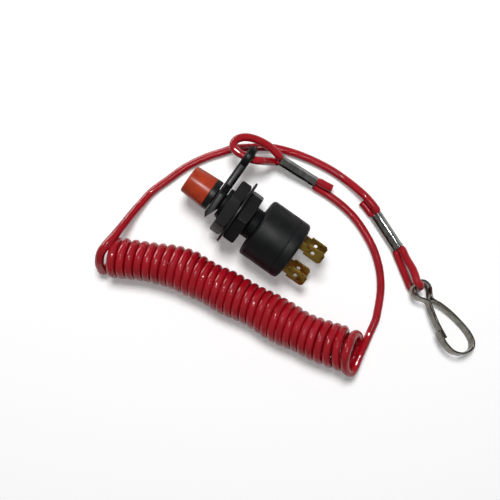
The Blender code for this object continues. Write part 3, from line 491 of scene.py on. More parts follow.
def rounded(corners, steps=6):
    """An outline whose corners (x, y, radius) are rounded by arcs."""
    points = []
    for index, (x, y, radius) in enumerate(corners):
        corner = Vector((x, y))
        if radius <= 0.0:
            points.append((x, y))
            continue
        before = (Vector(corners[index - 1][:2]) - corner).normalized()
        after = (Vector(corners[(index + 1) % len(corners)][:2]) - corner).normalized()
        half = before.angle(after) / 2.0
        centre = corner + (before + after).normalized() * radius / math.sin(half)
        start = corner + before * radius / math.tan(half) - centre
        sweep = start.angle_signed(corner + after * radius / math.tan(half) - centre)
        for step in range(steps + 1):
            place = centre + Matrix.Rotation(-sweep * step / steps, 2) @ start
            points.append((place.x, place.y))
    return points


def turned(name, outline, closed=True, sides=ROUND_SIDES):
    """A turned piece: a ring is extruded and scaled along an outline of (station, radius).
    A closed outline runs back into itself, and an open one is capped at both ends."""
    first = outline[0]
    unpick()
    bpy.ops.mesh.primitive_circle_add(
        vertices=sides, radius=first[1], location=(first[0], 0.0, 0.0), rotation=(0.0, math.pi / 2.0, 0.0),
    )
    piece = bpy.context.object
    piece.name = name
    settle()
    start_edit(piece)
    rings = outline + [first] if closed else outline
    for (station, radius), (next_station, next_radius) in zip(rings, rings[1:]):
        bpy.ops.mesh.extrude_edges_move(TRANSFORM_OT_translate={"value": (next_station - station, 0.0, 0.0)})
        growth = next_radius / radius
        bpy.ops.transform.resize(value=(1.0, growth, growth), center_override=(0.0, 0.0, 0.0))
    mark_all()
    if closed:
        bpy.ops.mesh.remove_doubles(threshold=WELD)
    else:
        bpy.ops.mesh.fill_holes(sides=0)
    face_outwards()
    smooth()
    return piece


def carve(piece, tool, operation="DIFFERENCE"):
    """Cuts, keeps or joins a piece by another shape, which is used up."""
    modifier = piece.modifiers.new("carve", "BOOLEAN")
    modifier.operation = operation
    modifier.solver = "EXACT"
    modifier.object = tool
    pick(piece)
    bpy.ops.object.modifier_apply(modifier="carve")
    bpy.data.objects.remove(tool, do_unlink=True)


def drawn(name, points):
    """A line drawn from point to point, by extruding one vertex, and left open in edit mode."""
    unpick()
    bpy.ops.mesh.primitive_plane_add(size=0.001, location=points[0])
    piece = bpy.context.object
    piece.name = name
    settle()
    start_edit(piece)
    bpy.ops.mesh.merge(type="CENTER")
    for here, there in zip(points, points[1:]):
        step = tuple(b - a for a, b in zip(here, there))
        bpy.ops.mesh.extrude_vertices_move(TRANSFORM_OT_translate={"value": step})
    return piece


def thread(name, front, rear, crest, root, pitch):
    """A solid thread between two stations: one tooth swept round by a Screw modifier and cut at its ends."""
    start = front - 2.0 * pitch
    rod = drawn(name, [(start + share * pitch, 0.0, crest if raised else root) for share, raised in THREAD_TOOTH])
    close_edit()
    screw = rod.modifiers.new("screw", "SCREW")
    screw.axis = "X"
    screw.screw_offset = pitch
    screw.iterations = math.ceil((rear - front) / pitch) + 4
    screw.steps = THREAD_STEPS
    screw.render_steps = THREAD_STEPS
    screw.use_merge_vertices = True
    screw.merge_threshold = WELD
    bpy.ops.object.modifier_apply(modifier="screw")
    start_edit(rod)
    bpy.ops.mesh.remove_doubles(threshold=WELD)
    for station, normal in ((front, 1.0), (rear, -1.0)):
        mark_all()
        bpy.ops.mesh.bisect(
            plane_co=(station, 0.0, 0.0), plane_no=(normal, 0.0, 0.0), use_fill=True, clear_inner=True,
        )
    face_outwards()
    return rod


def seat(piece, turn=0.0):
    """Moves a finished piece from its stations along X to its place on the switch."""
    bpy.context.view_layer.update()
    piece.matrix_world = SWITCH_PLACE @ Matrix.Rotation(turn, 4, "X") @ piece.matrix_world
    pick(piece)
    settle()


def dress(piece, body, finish, slot, *nodes):
    """Gives a piece its finish and its body, and hides the CAD nodes that it stands for; its slot is not used."""
    piece.data.materials.clear()
    piece.data.materials.append(finish)
    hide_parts(*nodes)
    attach(piece, body)


def moulded(name, gloss, dark, light, roughness, grain):
    """A finish of black moulded plastic: fine spark-eroded grain, soft flow clouds and thin handling marks."""
    def pattern(pen):
        place = pen.place()
        cloud = pen.noise(place, 130.0, 3.0)
        speck = pen.noise(place, 2600.0, 2.0, 0.6)
        rub = pen.noise(pen.place((1.0, 7.0, 7.0), (0.0, 0.0, 0.6)), 240.0, 4.0, 0.65)
        return {
            "Base Color": pen.blend(cloud.step(0.3, 0.7), colour(*dark), colour(*light)),
            "Roughness": roughness + 0.12 * cloud.step(0.35, 0.7) - 0.10 * rub.step(0.58, 0.75),
            "Normal": pen.bump(speck + 0.5 * rub, grain, 0.0003),
        }
    return new_finish(name, {"Specular IOR Level": gloss}, pattern)


groove_front = NECK_FRONT + (NECK_WEB - SEAL_GROOVE_WIDTH) / 2.0
groove_rear = groove_front + SEAL_GROOVE_WIDTH
web_rear = NECK_FRONT + NECK_WEB
bed = NECK_ROOT - THREAD_BEDDING
housing = turned("housing", rounded([
    (NECK_FRONT, SHAFT_BORE, NECK_EDGE), (NECK_FRONT, bed, 0.0), (HOUSING_FRONT, bed, 0.0),
    (HOUSING_FRONT, NECK_RADIUS + FACE_RING, 0.0), (HOUSING_FRONT, HOUSING_RADIUS, HOUSING_EDGE),
    (HOUSING_REAR - HOUSING_RIM, HOUSING_RADIUS, 0.0), (HOUSING_REAR, HOUSING_RADIUS, JOINT_EDGE),
    (HOUSING_REAR, CAVITY_RADIUS, 0.0), (CAVITY_FRONT, CAVITY_RADIUS, CAVITY_EDGE),
    (CAVITY_FRONT, SPRING_BORE, 0.0), (web_rear, SPRING_BORE, 0.0), (web_rear, SHAFT_BORE, 0.0),
    (groove_rear, SHAFT_BORE, 0.0), (groove_rear, SEAL_GROOVE, 0.0), (groove_front, SEAL_GROOVE, 0.0),
    (groove_front, SHAFT_BORE, 0.0),
]))
thread_ends = (NECK_FRONT - THREAD_SPARES[0], HOUSING_FRONT + THREAD_SPARES[1])
rod = thread("neck_thread", *thread_ends, NECK_RADIUS, NECK_ROOT, THREAD_PITCH)
blank = turned("neck_blank", [
    (NECK_FRONT, SPRING_BORE + SLEEVE_INSET), (NECK_FRONT, NECK_ROOT - LEAD_IN_DROP),
    (NECK_FRONT + THREAD_LEAD_IN, NECK_RADIUS + OVERCUT), (HOUSING_FRONT + OVERCUT, NECK_RADIUS + OVERCUT),
    (HOUSING_FRONT + OVERCUT, SPRING_BORE + SLEEVE_INSET),
])
carve(rod, blank, "INTERSECT")
carve(housing, rod, "UNION")
smooth()
seat(housing)
housing_black = moulded("housing_black", 0.23, (10, 11, 12), (15, 17, 18), 0.42, 0.30)
dress(housing, "switch", housing_black, "housing", "switch_body")


# Terminal base. The same black nylon, pressed into the open end of the housing until its rim closes the joint.
# Four slots in its floor hold the terminals.
BASE_FRONT = 0.05658
BASE_REAR = 0.0624
BASE_INSIDE = 0.0594
BASE_LIP = 0.0037
LIP_OUTER = 0.0129
LIP_INNER = 0.0112
LIP_OUTER_EDGE = 0.0004
LIP_INNER_EDGE = 0.0003
TAB_SPREAD = 0.0077
TAB_LEVEL = 0.00385
TAB_TURN = math.radians(30.0)
SLOT_SIZE = (0.012, 0.0044, 0.0012)
AXIS_RADIUS = 0.0008
TAB_PLACES = [(spread * TAB_SPREAD, level * TAB_LEVEL) for level in (1.0, -1.0) for spread in (1.0, -1.0)]

base = turned("terminal_base_cover", rounded([
    (BASE_INSIDE, AXIS_RADIUS, 0.0), (BASE_INSIDE, LIP_INNER, LIP_INNER_EDGE),
    (BASE_FRONT - BASE_LIP, LIP_INNER, 0.0), (BASE_FRONT - BASE_LIP, LIP_OUTER, LIP_OUTER_EDGE),
    (BASE_FRONT, LIP_OUTER, 0.0), (BASE_FRONT, HOUSING_RADIUS, JOINT_EDGE),
    (BASE_REAR, HOUSING_RADIUS, HOUSING_EDGE), (BASE_REAR, AXIS_RADIUS, 0.0),
]), closed=False)
for spread, level in TAB_PLACES:
    unpick()
    bpy.ops.mesh.primitive_cube_add(size=1.0, location=(BASE_REAR, spread, level), scale=SLOT_SIZE)
    cutter = bpy.context.object
    cutter.matrix_world = Matrix.Rotation(TAB_TURN, 4, "X") @ cutter.matrix_world
    carve(base, cutter)
smooth()
seat(base)
dress(base, "switch", housing_black, "housing", "terminal_base")


# Panel washer and the two nuts. The washer is a large thin disc of black-coated steel, and the nuts are black
# nylon with chamfered ends. The washer and the front nut clamp the panel, and the rear nut sets the depth.
NUT_FLATS = 0.0254
NUT_CHAMFER = 0.0008
NUT_EDGE = 0.00022
NUT_FIT = 0.00016
NUT_MOUTH = 0.0006
NUT_MOUTH_LENGTH = 0.0004
NUT_SPARE = 0.0003
NUT_OVERCUT = 0.0001
WASHER_FRONT = 0.0282
WASHER_REAR = 0.0293
WASHER_RADIUS = 0.0170
WASHER_EDGE = 0.00022
WASHER_FIT = 0.0002
WASHER_BORE_EDGE = 0.0001


def mark(piece, kind, test):
    """Opens a piece in edit mode with only those vertices, edges or faces selected that pass a test."""
    start_edit(piece)
    bpy.ops.mesh.select_mode(type=kind)
    bpy.ops.mesh.select_all(action="DESELECT")
    close_edit()
    parts = {"VERT": piece.data.vertices, "EDGE": piece.data.edges, "FACE": piece.data.polygons}
    for part in parts[kind]:
        part.select = test(part)
    bpy.ops.object.mode_set(mode="EDIT")


def hexagon_nut(name, front, rear, turn):
    """A hexagon block, its ends chamfered by a turned blank, with a threaded hole."""
    corner = NUT_FLATS / 2.0 / math.cos(math.pi / 6.0)
    unpick()
    bpy.ops.mesh.primitive_cylinder_add(
        vertices=6, radius=corner, depth=rear - front, location=((front + rear) / 2.0, 0.0, 0.0),
        rotation=(0.0, math.pi / 2.0, 0.0),
    )
    nut = bpy.context.object
    nut.name = name
    settle()

    def joins_both_ends(edge):
        near, far = [nut.data.vertices[index].co.x for index in edge.vertices]
        return abs(near - far) > (rear - front) / 2.0

    mark(nut, "EDGE", joins_both_ends)
    bpy.ops.mesh.bevel(offset=NUT_EDGE, segments=3, affect="EDGES")
    bpy.ops.mesh.select_mode(type="VERT")
    mark_all()
    bpy.ops.transform.rotate(value=-turn, orient_axis="X", center_override=(0.0, 0.0, 0.0))
    close_edit()
    bore = NECK_RADIUS + NUT_FIT
    blank = turned(name + "_blank", [
        (front - NUT_OVERCUT, bore + NUT_MOUTH), (front + NUT_MOUTH_LENGTH, bore), (rear - NUT_MOUTH_LENGTH, bore),
        (rear + NUT_OVERCUT, bore + NUT_MOUTH), (rear + NUT_OVERCUT, corner - 2.0 * NUT_CHAMFER),
        (rear - NUT_CHAMFER, corner + NUT_SPARE), (front + NUT_CHAMFER, corner + NUT_SPARE),
        (front - NUT_OVERCUT, corner - 2.0 * NUT_CHAMFER),
    ])
    carve(nut, blank, "INTERSECT")
    smooth(24.0)
    seat(nut)
    return nut


nut_black = moulded("nut_black", 0.25, (10, 10, 11), (15, 15, 17), 0.38, 0.20)
for name, front, rear, turn, node in (
    ("front_hexagon_nut", 0.0221, 0.0279, math.radians(12.0), "front_nut"),
    ("rear_hexagon_nut", 0.0296, 0.0356, math.radians(-21.0), "rear_nut"),
):
    nut = hexagon_nut(name, front, rear, turn)
    dress(nut, "switch", nut_black, "nut", node)


def coated_steel(pen):
    """Black coating on steel: smooth, with fine turning rings and a few thin scratches."""
    place = pen.place()
    rings = pen.node("ShaderNodeTexWave", {"wave_type": "RINGS", "rings_direction": "X"},
                     {"Vector": place, "Scale": 900.0, "Distortion": 0.8, "Detail": 1.0})
    cloud = pen.noise(place, 160.0, 3.0)
    return {
        "Base Color": pen.blend(cloud.step(0.35, 0.65), colour(15, 15, 16), colour(22, 23, 24)),
        "Roughness": 0.30 + 0.10 * cloud + 0.05 * rings,
        "Normal": pen.bump(rings + cloud, 0.05, 0.0002),
    }


washer = turned("panel_disc", rounded([
    (WASHER_FRONT, NECK_RADIUS + WASHER_FIT, WASHER_BORE_EDGE), (WASHER_FRONT, WASHER_RADIUS, WASHER_EDGE),
    (WASHER_REAR, WASHER_RADIUS, WASHER_EDGE), (WASHER_REAR, NECK_RADIUS + WASHER_FIT, WASHER_BORE_EDGE),
], steps=3), sides=128)
seat(washer)
washer_black = new_finish("washer_black", {"Specular IOR Level": 0.25}, coated_steel)
dress(washer, "switch", washer_black, "washer", "panel_washer")


# Plunger and its cap. The plunger is one black acetal moulding: a spigot, the collar that the key holds out,
# and the shaft through the neck. The orange cap is a slightly tapered cup, pressed on the spigot.
CAP_LENGTH = 0.0123
CAP_FRONT_RADIUS = 0.0072
CAP_REAR_RADIUS = 0.0081
CAP_WALL = 0.0026
CAP_EDGE = 0.0009
CAP_RIM_EDGE = 0.00022
CAP_MIDDLE = 0.0009
SPIGOT_RADIUS = 0.0037
SPIGOT_FIT = 0.00005
COLLAR_FRONT = 0.01236
COLLAR_REAR = 0.0154
COLLAR_RADIUS = 0.00805
SHAFT_RADIUS = 0.0043
SHAFT_SHOULDER = 0.0449
SHAFT_END = 0.0476
SHAFT_END_RADIUS = 0.0026
SHAFT_HOLE_RADIUS = 0.0013
SHAFT_HOLE_DEPTH = 0.0070
SHAFT_ROOT_EDGE = 0.0002
PLUNGER_EDGE = 0.0003


def cap_orange(pen):
    """Bright orange plastic, with faint flow clouds and fine rubbing marks along it."""
    place = pen.place()
    cloud = pen.noise(place, 220.0, 3.0)
    rub = pen.noise(pen.place((1.0, 9.0, 9.0)), 300.0, 4.0, 0.6)
    return {
        "Base Color": pen.blend(cloud.step(0.35, 0.65), colour(160, 52, 27), colour(174, 60, 31)),
        "Roughness": 0.26 + 0.10 * rub.step(0.45, 0.7),
        "Normal": pen.bump(cloud + 0.3 * rub, 0.05, 0.0003),
    }


cap = turned("cap", rounded([
    (0.0, CAP_MIDDLE, 0.0), (0.0, CAP_FRONT_RADIUS, CAP_EDGE), (CAP_LENGTH, CAP_REAR_RADIUS, CAP_RIM_EDGE),
    (CAP_LENGTH, SPIGOT_RADIUS, 0.0), (CAP_WALL, SPIGOT_RADIUS, 0.0), (CAP_WALL, CAP_MIDDLE, 0.0),
]), closed=False)
seat(cap)
dress(cap, "plunger", new_finish("cap_orange", {"Specular IOR Level": 0.25}, cap_orange), "cap", "button_cap")
spigot_front = CAP_WALL + PLUNGER_EDGE
spigot_radius = SPIGOT_RADIUS - SPIGOT_FIT
hole_end = SHAFT_END - SHAFT_HOLE_DEPTH
plunger = turned("plunger_shaft", rounded([
    (spigot_front, AXIS_RADIUS, 0.0), (spigot_front, spigot_radius, PLUNGER_EDGE),
    (COLLAR_FRONT, spigot_radius, 0.0), (COLLAR_FRONT, COLLAR_RADIUS, PLUNGER_EDGE),
    (COLLAR_REAR, COLLAR_RADIUS, PLUNGER_EDGE), (COLLAR_REAR, SHAFT_RADIUS, SHAFT_ROOT_EDGE),
    (SHAFT_SHOULDER, SHAFT_RADIUS, 0.0), (SHAFT_SHOULDER, SHAFT_END_RADIUS, 0.0),
    (SHAFT_END, SHAFT_END_RADIUS, 0.0), (SHAFT_END, SHAFT_HOLE_RADIUS, 0.0),
    (hole_end, SHAFT_HOLE_RADIUS, 0.0), (hole_end, AXIS_RADIUS, 0.0),
]), closed=False)
seat(plunger)
plunger_black = moulded("plunger_black", 0.25, (14, 15, 16), (20, 21, 23), 0.34, 0.12)
dress(plunger, "plunger", plunger_black, "plunger", "plunger")


# Key. A forked plate of tough black plastic with well rounded edges: its fork straddles the shaft behind the
# collar, and the lanyard is tied through its eye. Pulling it out lets the button drop.
KEY_FRONT = 0.0157
KEY_THICKNESS = 0.0042
KEY_REACH = 0.0111
KEY_HALF_WIDTH = 0.0084
KEY_SHOULDER = 0.0060
KEY_SHOULDER_PLACE = 0.0015
KEY_STEM_HALF = 0.0035
KEY_EYE_PLACE = 0.0249
KEY_EYE_RADIUS = 0.0061
KEY_HOLE_RADIUS = 0.0031
KEY_HOLE_FLARE = ((-0.0010, 0.0012), (0.0003, 0.0002), (0.0008, 0.0))
KEY_SLOT_HALF = 0.0046
KEY_EDGE = 0.0013
KEY_WELD = 0.00001
KEY_TIP_PLACE = 0.0015
KEY_FRONT_SLOPE = 0.0024
KEY_REAR_SLOPE = 0.0068


def arc(centre, radius, start, end, steps):
    """Points on an arc, its angles in degrees."""
    angles = [math.radians(start + (end - start) * step / steps) for step in range(steps + 1)]
    return [(centre[0] + radius * math.cos(angle), centre[1] + radius * math.sin(angle)) for angle in angles]


def plate(name, outline, thickness):
    """A flat plate in the Y-Z plane: its outline is drawn, closed, filled and extruded along X."""
    piece = drawn(name, [(0.0, u, v) for u, v in outline])
    mark_all()
    bpy.ops.mesh.edge_face_add()
    bpy.ops.mesh.extrude_region_move(TRANSFORM_OT_translate={"value": (thickness, 0.0, 0.0)})
    face_outwards()
    return piece


def soften(piece, width, segments=3, angle=40.0):
    """Rounds every edge sharper than an angle."""
    modifier = piece.modifiers.new("soften", "BEVEL")
    modifier.width = width
    modifier.segments = segments
    modifier.limit_method = "ANGLE"
    modifier.angle_limit = math.radians(angle)
    modifier.use_clamp_overlap = False
    pick(piece)
    bpy.ops.object.modifier_apply(modifier="soften")
    smooth(40.0)


shoulder_level = KEY_HALF_WIDTH - KEY_SHOULDER
eye_turn = math.degrees(math.asin(KEY_STEM_HALF / KEY_EYE_RADIUS))
shoulder_turn = math.degrees(math.asin((KEY_STEM_HALF - shoulder_level) / KEY_SHOULDER))
half = [(-KEY_REACH, KEY_SLOT_HALF), (-KEY_REACH, KEY_HALF_WIDTH)]
half += arc((KEY_SHOULDER_PLACE, shoulder_level), KEY_SHOULDER, 90.0, shoulder_turn, 12)
half += arc((KEY_EYE_PLACE, 0.0), KEY_EYE_RADIUS, 180.0 - eye_turn, 0.0, 18)
outline = half + [(u, -v) for u, v in reversed(half[:-1])] + arc((0.0, 0.0), KEY_SLOT_HALF, -90.0, 90.0, 20)
key = plate("kill_key", outline, KEY_THICKNESS)
soften(key, KEY_EDGE, 6, 60.0)
start_edit(key)
for start, side in ((0.0, -1.0), (KEY_THICKNESS, 1.0)):
    slope = (KEY_TIP_PLACE - start) / (KEY_FRONT_SLOPE if side < 0.0 else KEY_REAR_SLOPE)
    mark_all()
    bpy.ops.mesh.bisect(
        plane_co=(KEY_TIP_PLACE, -KEY_REACH, 0.0), plane_no=(side, side * slope, 0.0),
        use_fill=True, clear_outer=True, threshold=WELD,
    )
mark_all()
bpy.ops.mesh.remove_doubles(threshold=KEY_WELD)
face_outwards()
flare = [(depth, KEY_HOLE_RADIUS + growth) for depth, growth in KEY_HOLE_FLARE]
flare += [(KEY_THICKNESS - depth, radius) for depth, radius in reversed(flare)]
hole = turned("key_hole", flare, closed=False, sides=48)
hole.location.y = KEY_EYE_PLACE
carve(key, hole)
smooth(35.0)
key.location.x = KEY_FRONT
seat(key)
key_black = moulded("key_black", 0.16, (10, 11, 12), (17, 18, 19), 0.30, 0.04)
dress(key, "key", key_black, "key", "lanyard_key")


# Terminals. Four flat tabs of the usual 6.35 mm size, stamped from 0.8 mm brass. Each has a hole that holds the
# wire's socket, and runs on inside the housing as a leg with a contact hook.
TAB_THICKNESS = 0.0008
TAB_TIP = 0.0754
TAB_SHOULDER = 0.0659
TAB_HALF_WIDTH = 0.003175
TAB_ROOT_HALF = 0.0020
TAB_CORNER = 0.0012
TAB_EDGE = 0.00012
TAB_HOLE_RADIUS = 0.00095
TAB_HOLE_PLACE = 0.0696
TAB_HOLE_DEPTH = 0.004
LEG_OUTER = 0.00993
LEG_INNER = 0.00853
HOOK_INNER = 0.0049
HOOK_DEPTH = 0.0010
RUN_CONTACT = 0.0489
KILL_CONTACT = 0.0550


def stamped_brass(pen):
    """Brass strip: rolling lines along the tab, brown tarnish in clouds and brighter where sockets rub."""
    place = pen.place()
    cloud = pen.noise(place, 260.0, 4.0, 0.6)
    rolled = pen.noise(pen.place((1.0, 26.0, 26.0)), 420.0, 3.0)
    stain = pen.noise(place, 700.0, 3.0, 0.65)
    clean = pen.blend(rolled.step(0.35, 0.65), colour(150, 122, 50), colour(176, 146, 66))
    return {
        "Base Color": pen.blend((0.75 * cloud + 0.25 * stain).step(0.44, 0.66), clean, colour(104, 72, 30)),
        "Roughness": 0.30 + 0.18 * cloud.step(0.4, 0.7) + 0.06 * rolled,
        "Normal": pen.bump(rolled + 0.4 * stain, 0.08, 0.0002),
    }


brass = new_finish("terminal_brass", {"Metallic": 0.92}, stamped_brass)
tabs = (
    ("run_tab_right", "run_terminal_right"), ("run_tab_left", "run_terminal_left"),
    ("kill_tab_right", "kill_terminal_right"), ("kill_tab_left", "kill_terminal_left"),
)
tab_half = [
    (BASE_INSIDE, TAB_ROOT_HALF), (TAB_SHOULDER, TAB_ROOT_HALF), (TAB_SHOULDER, TAB_HALF_WIDTH),
    (TAB_TIP - TAB_CORNER, TAB_HALF_WIDTH), (TAB_TIP, TAB_HALF_WIDTH - TAB_CORNER),
]
for (name, node), (spread, level) in zip(tabs, TAB_PLACES):
    side = math.copysign(1.0, spread)
    contact = RUN_CONTACT if level > 0.0 else KILL_CONTACT
    outline = [(contact, HOOK_INNER), (contact, LEG_OUTER), (BASE_INSIDE, LEG_OUTER)]
    outline += [(place, TAB_SPREAD + half_width) for place, half_width in tab_half]
    outline += [(place, TAB_SPREAD - half_width) for place, half_width in reversed(tab_half)]
    outline += [(BASE_INSIDE, LEG_INNER), (contact + HOOK_DEPTH, LEG_INNER), (contact + HOOK_DEPTH, HOOK_INNER)]
    tab = plate(name, [(station, side * across) for station, across in outline], TAB_THICKNESS)
    tab.matrix_world = Matrix(((0, 1, 0, 0), (0, 0, 1, 0), (1, 0, 0, level - TAB_THICKNESS / 2.0), (0, 0, 0, 1)))
    settle()
    unpick()
    bpy.ops.mesh.primitive_cylinder_add(
        vertices=32, radius=TAB_HOLE_RADIUS, depth=TAB_HOLE_DEPTH, location=(TAB_HOLE_PLACE, spread, level),
    )
    carve(tab, bpy.context.object)
    soften(tab, TAB_EDGE, 2)
    seat(tab, TAB_TURN)
    dress(tab, "switch", brass, "terminal", node)


# Ferrules. Each is a strip of plated steel rolled round the two strands of a loop and pressed flat, so that its
# edges nearly meet in a seam. The mouth at the loop is slightly flared.
FERRULE_HALF_WIDTH = 0.0032
FERRULE_HALF_HEIGHT = 0.00255
FERRULE_SHEET = 0.0005
FERRULE_FLARE = 1.12
FERRULE_FLARE_LENGTH = 0.0015
FERRULE_SEAM = 4.0
FERRULE_PRESS = 0.045
FERRULE_FACETS = 6.0
FERRULE_STEPS = 48
FERRULE_EDGE = 0.0001
NOTCH_RADIUS = 0.00065
NOTCH_INSET = 0.0026
NOTCH_DEPTH = 0.0016


def plated_steel(name, dark, light, streak):
    """A finish of nickel plating: drawn lines along the sheet, and dull clouds where it was handled."""
    def pattern(pen):
        place = pen.place()
        cloud = pen.noise(place, 330.0, 4.0, 0.6)
        fine = pen.noise(pen.place((1.0, streak, streak), (0.0, 0.0, 0.35)), 500.0, 4.0, 0.6)
        return {
            "Base Color": pen.blend((0.6 * cloud + 0.4 * fine).step(0.38, 0.62), colour(*dark), colour(*light)),
            "Roughness": 0.10 + 0.10 * cloud.step(0.4, 0.7) + 0.06 * fine,
            "Normal": pen.bump(fine + 0.5 * cloud, 0.05, 0.0002),
        }
    return new_finish(name, {"Metallic": 1.0}, pattern)


nickel = plated_steel("nickel_plating", (118, 120, 117), (158, 159, 155), 6.0)


def ferrule_tube(name, ferrule, pair, node):
    """The rolled strip: its section is drawn, filled, extruded along the ferrule and flared at the loop's mouth."""
    start, end = ferrule
    length = (end - start).length
    along = (end - start).normalized()
    across = (pair - along * pair.dot(along)).normalized()
    up = along.cross(across)
    if up.z < 0.0:
        across = -across
        up = -up
    section = []
    for inset in (0.0, FERRULE_SHEET):
        edge = []
        for step in range(FERRULE_STEPS + 1):
            angle = math.radians(90.0 + FERRULE_SEAM + (360.0 - 2.0 * FERRULE_SEAM) * step / FERRULE_STEPS)
            press = 1.0 - FERRULE_PRESS * math.cos(FERRULE_FACETS * angle)
            edge.append((
                (FERRULE_HALF_WIDTH * press - inset) * math.cos(angle),
                (FERRULE_HALF_HEIGHT * press - inset) * math.sin(angle),
            ))
        section += edge if inset == 0.0 else edge[::-1]
    tube = plate(name, section, FERRULE_FLARE_LENGTH)
    mark(tube, "VERT", lambda vert: vert.co.x < WELD)
    bpy.ops.transform.resize(value=(1.0, FERRULE_FLARE, FERRULE_FLARE), center_override=(0.0, 0.0, 0.0))
    close_edit()
    mark(tube, "FACE", lambda face: face.normal.x > 0.99)
    bpy.ops.mesh.extrude_region_move(TRANSFORM_OT_translate={"value": (length - FERRULE_FLARE_LENGTH, 0.0, 0.0)})
    bpy.ops.mesh.select_mode(type="VERT")
    close_edit()
    for place in (NOTCH_INSET, length - NOTCH_INSET):
        unpick()
        bpy.ops.mesh.primitive_cylinder_add(
            vertices=20, radius=NOTCH_RADIUS, depth=NOTCH_DEPTH, location=(place, 0.0, FERRULE_HALF_HEIGHT),
        )
        carve(tube, bpy.context.object)
    soften(tube, FERRULE_EDGE, 2, 60.0)
    tube.matrix_world = Matrix((
        (along.x, across.x, up.x, start.x), (along.y, across.y, up.y, start.y),
        (along.z, across.z, up.z, start.z), (0.0, 0.0, 0.0, 1.0),
    ))
    pick(tube)
    settle()
    dress(tube, "key", nickel, "nickel", node)
    return tube


key_crimp = ferrule_tube("key_crimp", KEY_FERRULE, KEY_FERRULE_PAIR, "key_ferrule")
hook_crimp = ferrule_tube("hook_crimp", HOOK_FERRULE, HOOK_FERRULE_PAIR, "hook_ferrule")


# Snap hook. One strip of spring steel, 4.8 by 1 mm, bent on edge into an eye, two legs and a nose, and nickel
# plated. The shorter leg is the gate: it springs inwards and closes against the inside of the nose.
STRIP_WIDTH = 0.0048
STRIP_THICKNESS = 0.0010
STRIP_EDGE = 0.00022
STRIP_STEP = 0.0007
EYE_RADIUS = 0.0047
HOOK_PLACE = Matrix.Translation((0.0877, 0.0143, 0.0065))
HOOK_TURN = Matrix.Rotation(math.radians(-18.5), 4, "Z") @ Matrix.Rotation(math.radians(1.2), 4, "Y")
HOOK_ROLL = Matrix.Rotation(math.radians(-28.0), 4, "X")

gate = [(0.0256, -0.0059), (0.0173, -0.0045), (0.0110, -0.0026), (0.0064, -0.0012)]
eye = arc((0.0, 0.0), EYE_RADIUS, -38.0, -322.0, 10)
leg = [(0.0062, 0.0014), (0.0110, 0.0034), (0.0165, 0.0053), (0.0247, 0.0069), (0.0320, 0.0073)]
bend = [(0.0366, 0.0061), (0.0384, 0.0037), (0.0383, 0.0004), (0.0370, -0.0032), (0.0335, -0.0065)]
nose = [(0.0297, -0.0076), (0.0262, -0.0076), (0.0209, -0.0066)]
line = smooth_path([(u, v, -STRIP_WIDTH / 2.0) for u, v in gate + eye + leg + bend + nose], STRIP_STEP)
hook = drawn("spring_hook", [tuple(point) for point in line])
mark_all()
bpy.ops.mesh.extrude_edges_move(TRANSFORM_OT_translate={"value": (0.0, 0.0, STRIP_WIDTH)})
close_edit()
sheet = hook.modifiers.new("sheet", "SOLIDIFY")
sheet.thickness = STRIP_THICKNESS
sheet.offset = 0.0
sheet.use_even_offset = True
pick(hook)
bpy.ops.object.modifier_apply(modifier="sheet")
soften(hook, STRIP_EDGE, 3, 50.0)
start_edit(hook)
face_outwards()
hook.matrix_world = HOOK_PLACE @ HOOK_TURN @ HOOK_ROLL
settle()
dull_nickel = plated_steel("dull_nickel", (106, 103, 96), (146, 142, 133), 3.0)
dress(hook, "key", dull_nickel, "nickel", "snap_hook")


# Inside the housing. A white nylon carrier, screwed to the end of the shaft, holds two spring-loaded copper
# bridges: one closes the run contacts with the button out, and the other the kill contacts with it in.
# The return spring stands on the neck's web, and the run bridge's spring on its bridge, which the run contacts
# hold. Both shorten as the button comes out.
SOLID_WELD = 0.000001


def plain_metal(name, first, second, roughness):
    """A finish of drawn or stamped metal, with soft clouds and fine lines."""
    def pattern(pen):
        cloud = pen.noise(pen.place(), 500.0, 3.0)
        lines = pen.noise(pen.place((1.0, 14.0, 14.0)), 700.0, 2.0)
        return {
            "Base Color": pen.blend(cloud.step(0.35, 0.65), colour(*first), colour(*second)),
            "Roughness": roughness + 0.15 * cloud,
            "Normal": pen.bump(lines, 0.06, 0.0002),
        }
    return new_finish(name, {"Metallic": 1.0}, pattern)


def nylon(pen):
    """Off-white nylon, slightly cloudy."""
    cloud = pen.noise(pen.place(), 300.0, 3.0)
    return {
        "Base Color": pen.blend(cloud.step(0.35, 0.65), colour(214, 209, 196), colour(226, 222, 211)),
        "Roughness": 0.42 + 0.12 * cloud,
        "Normal": pen.bump(cloud, 0.05, 0.0003),
    }


spring_steel = plain_metal("spring_steel", (150, 150, 152), (184, 184, 186), 0.22)
inner_finishes = {
    "contact_carrier": new_finish("carrier_white", {}, nylon),
    "carrier_screw": plain_metal("screw_zinc", (168, 170, 172), (198, 200, 202), 0.28),
    "run_bridge": plain_metal("bridge_copper", (186, 118, 84), (206, 140, 104), 0.24),
    "kill_contact_spring": spring_steel,
    "shaft_seal": moulded("seal_rubber", 0.5, (16, 16, 17), (22, 22, 23), 0.55, 0.10),
}
inner_finishes["kill_bridge"] = inner_finishes["run_bridge"]


def shortening_spring(name, node):
    """A merged copy of a spring's solid, finished in spring steel, in place of its CAD node."""
    piece = bpy.data.objects.new(name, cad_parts[node].data.copy())
    bpy.context.scene.collection.objects.link(piece)
    start_edit(piece)
    bpy.ops.mesh.remove_doubles(threshold=SOLID_WELD)
    close_edit()
    smooth(60.0)
    piece.data.materials.clear()
    piece.data.materials.append(spring_steel)
    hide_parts(node)
    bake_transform(piece)


shortening_spring("shaft_spring", "return_spring")
shortening_spring("run_spring", "run_contact_spring")
for node, finish in inner_finishes.items():
    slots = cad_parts[node].data.materials
    slots.clear()
    slots.append(finish)


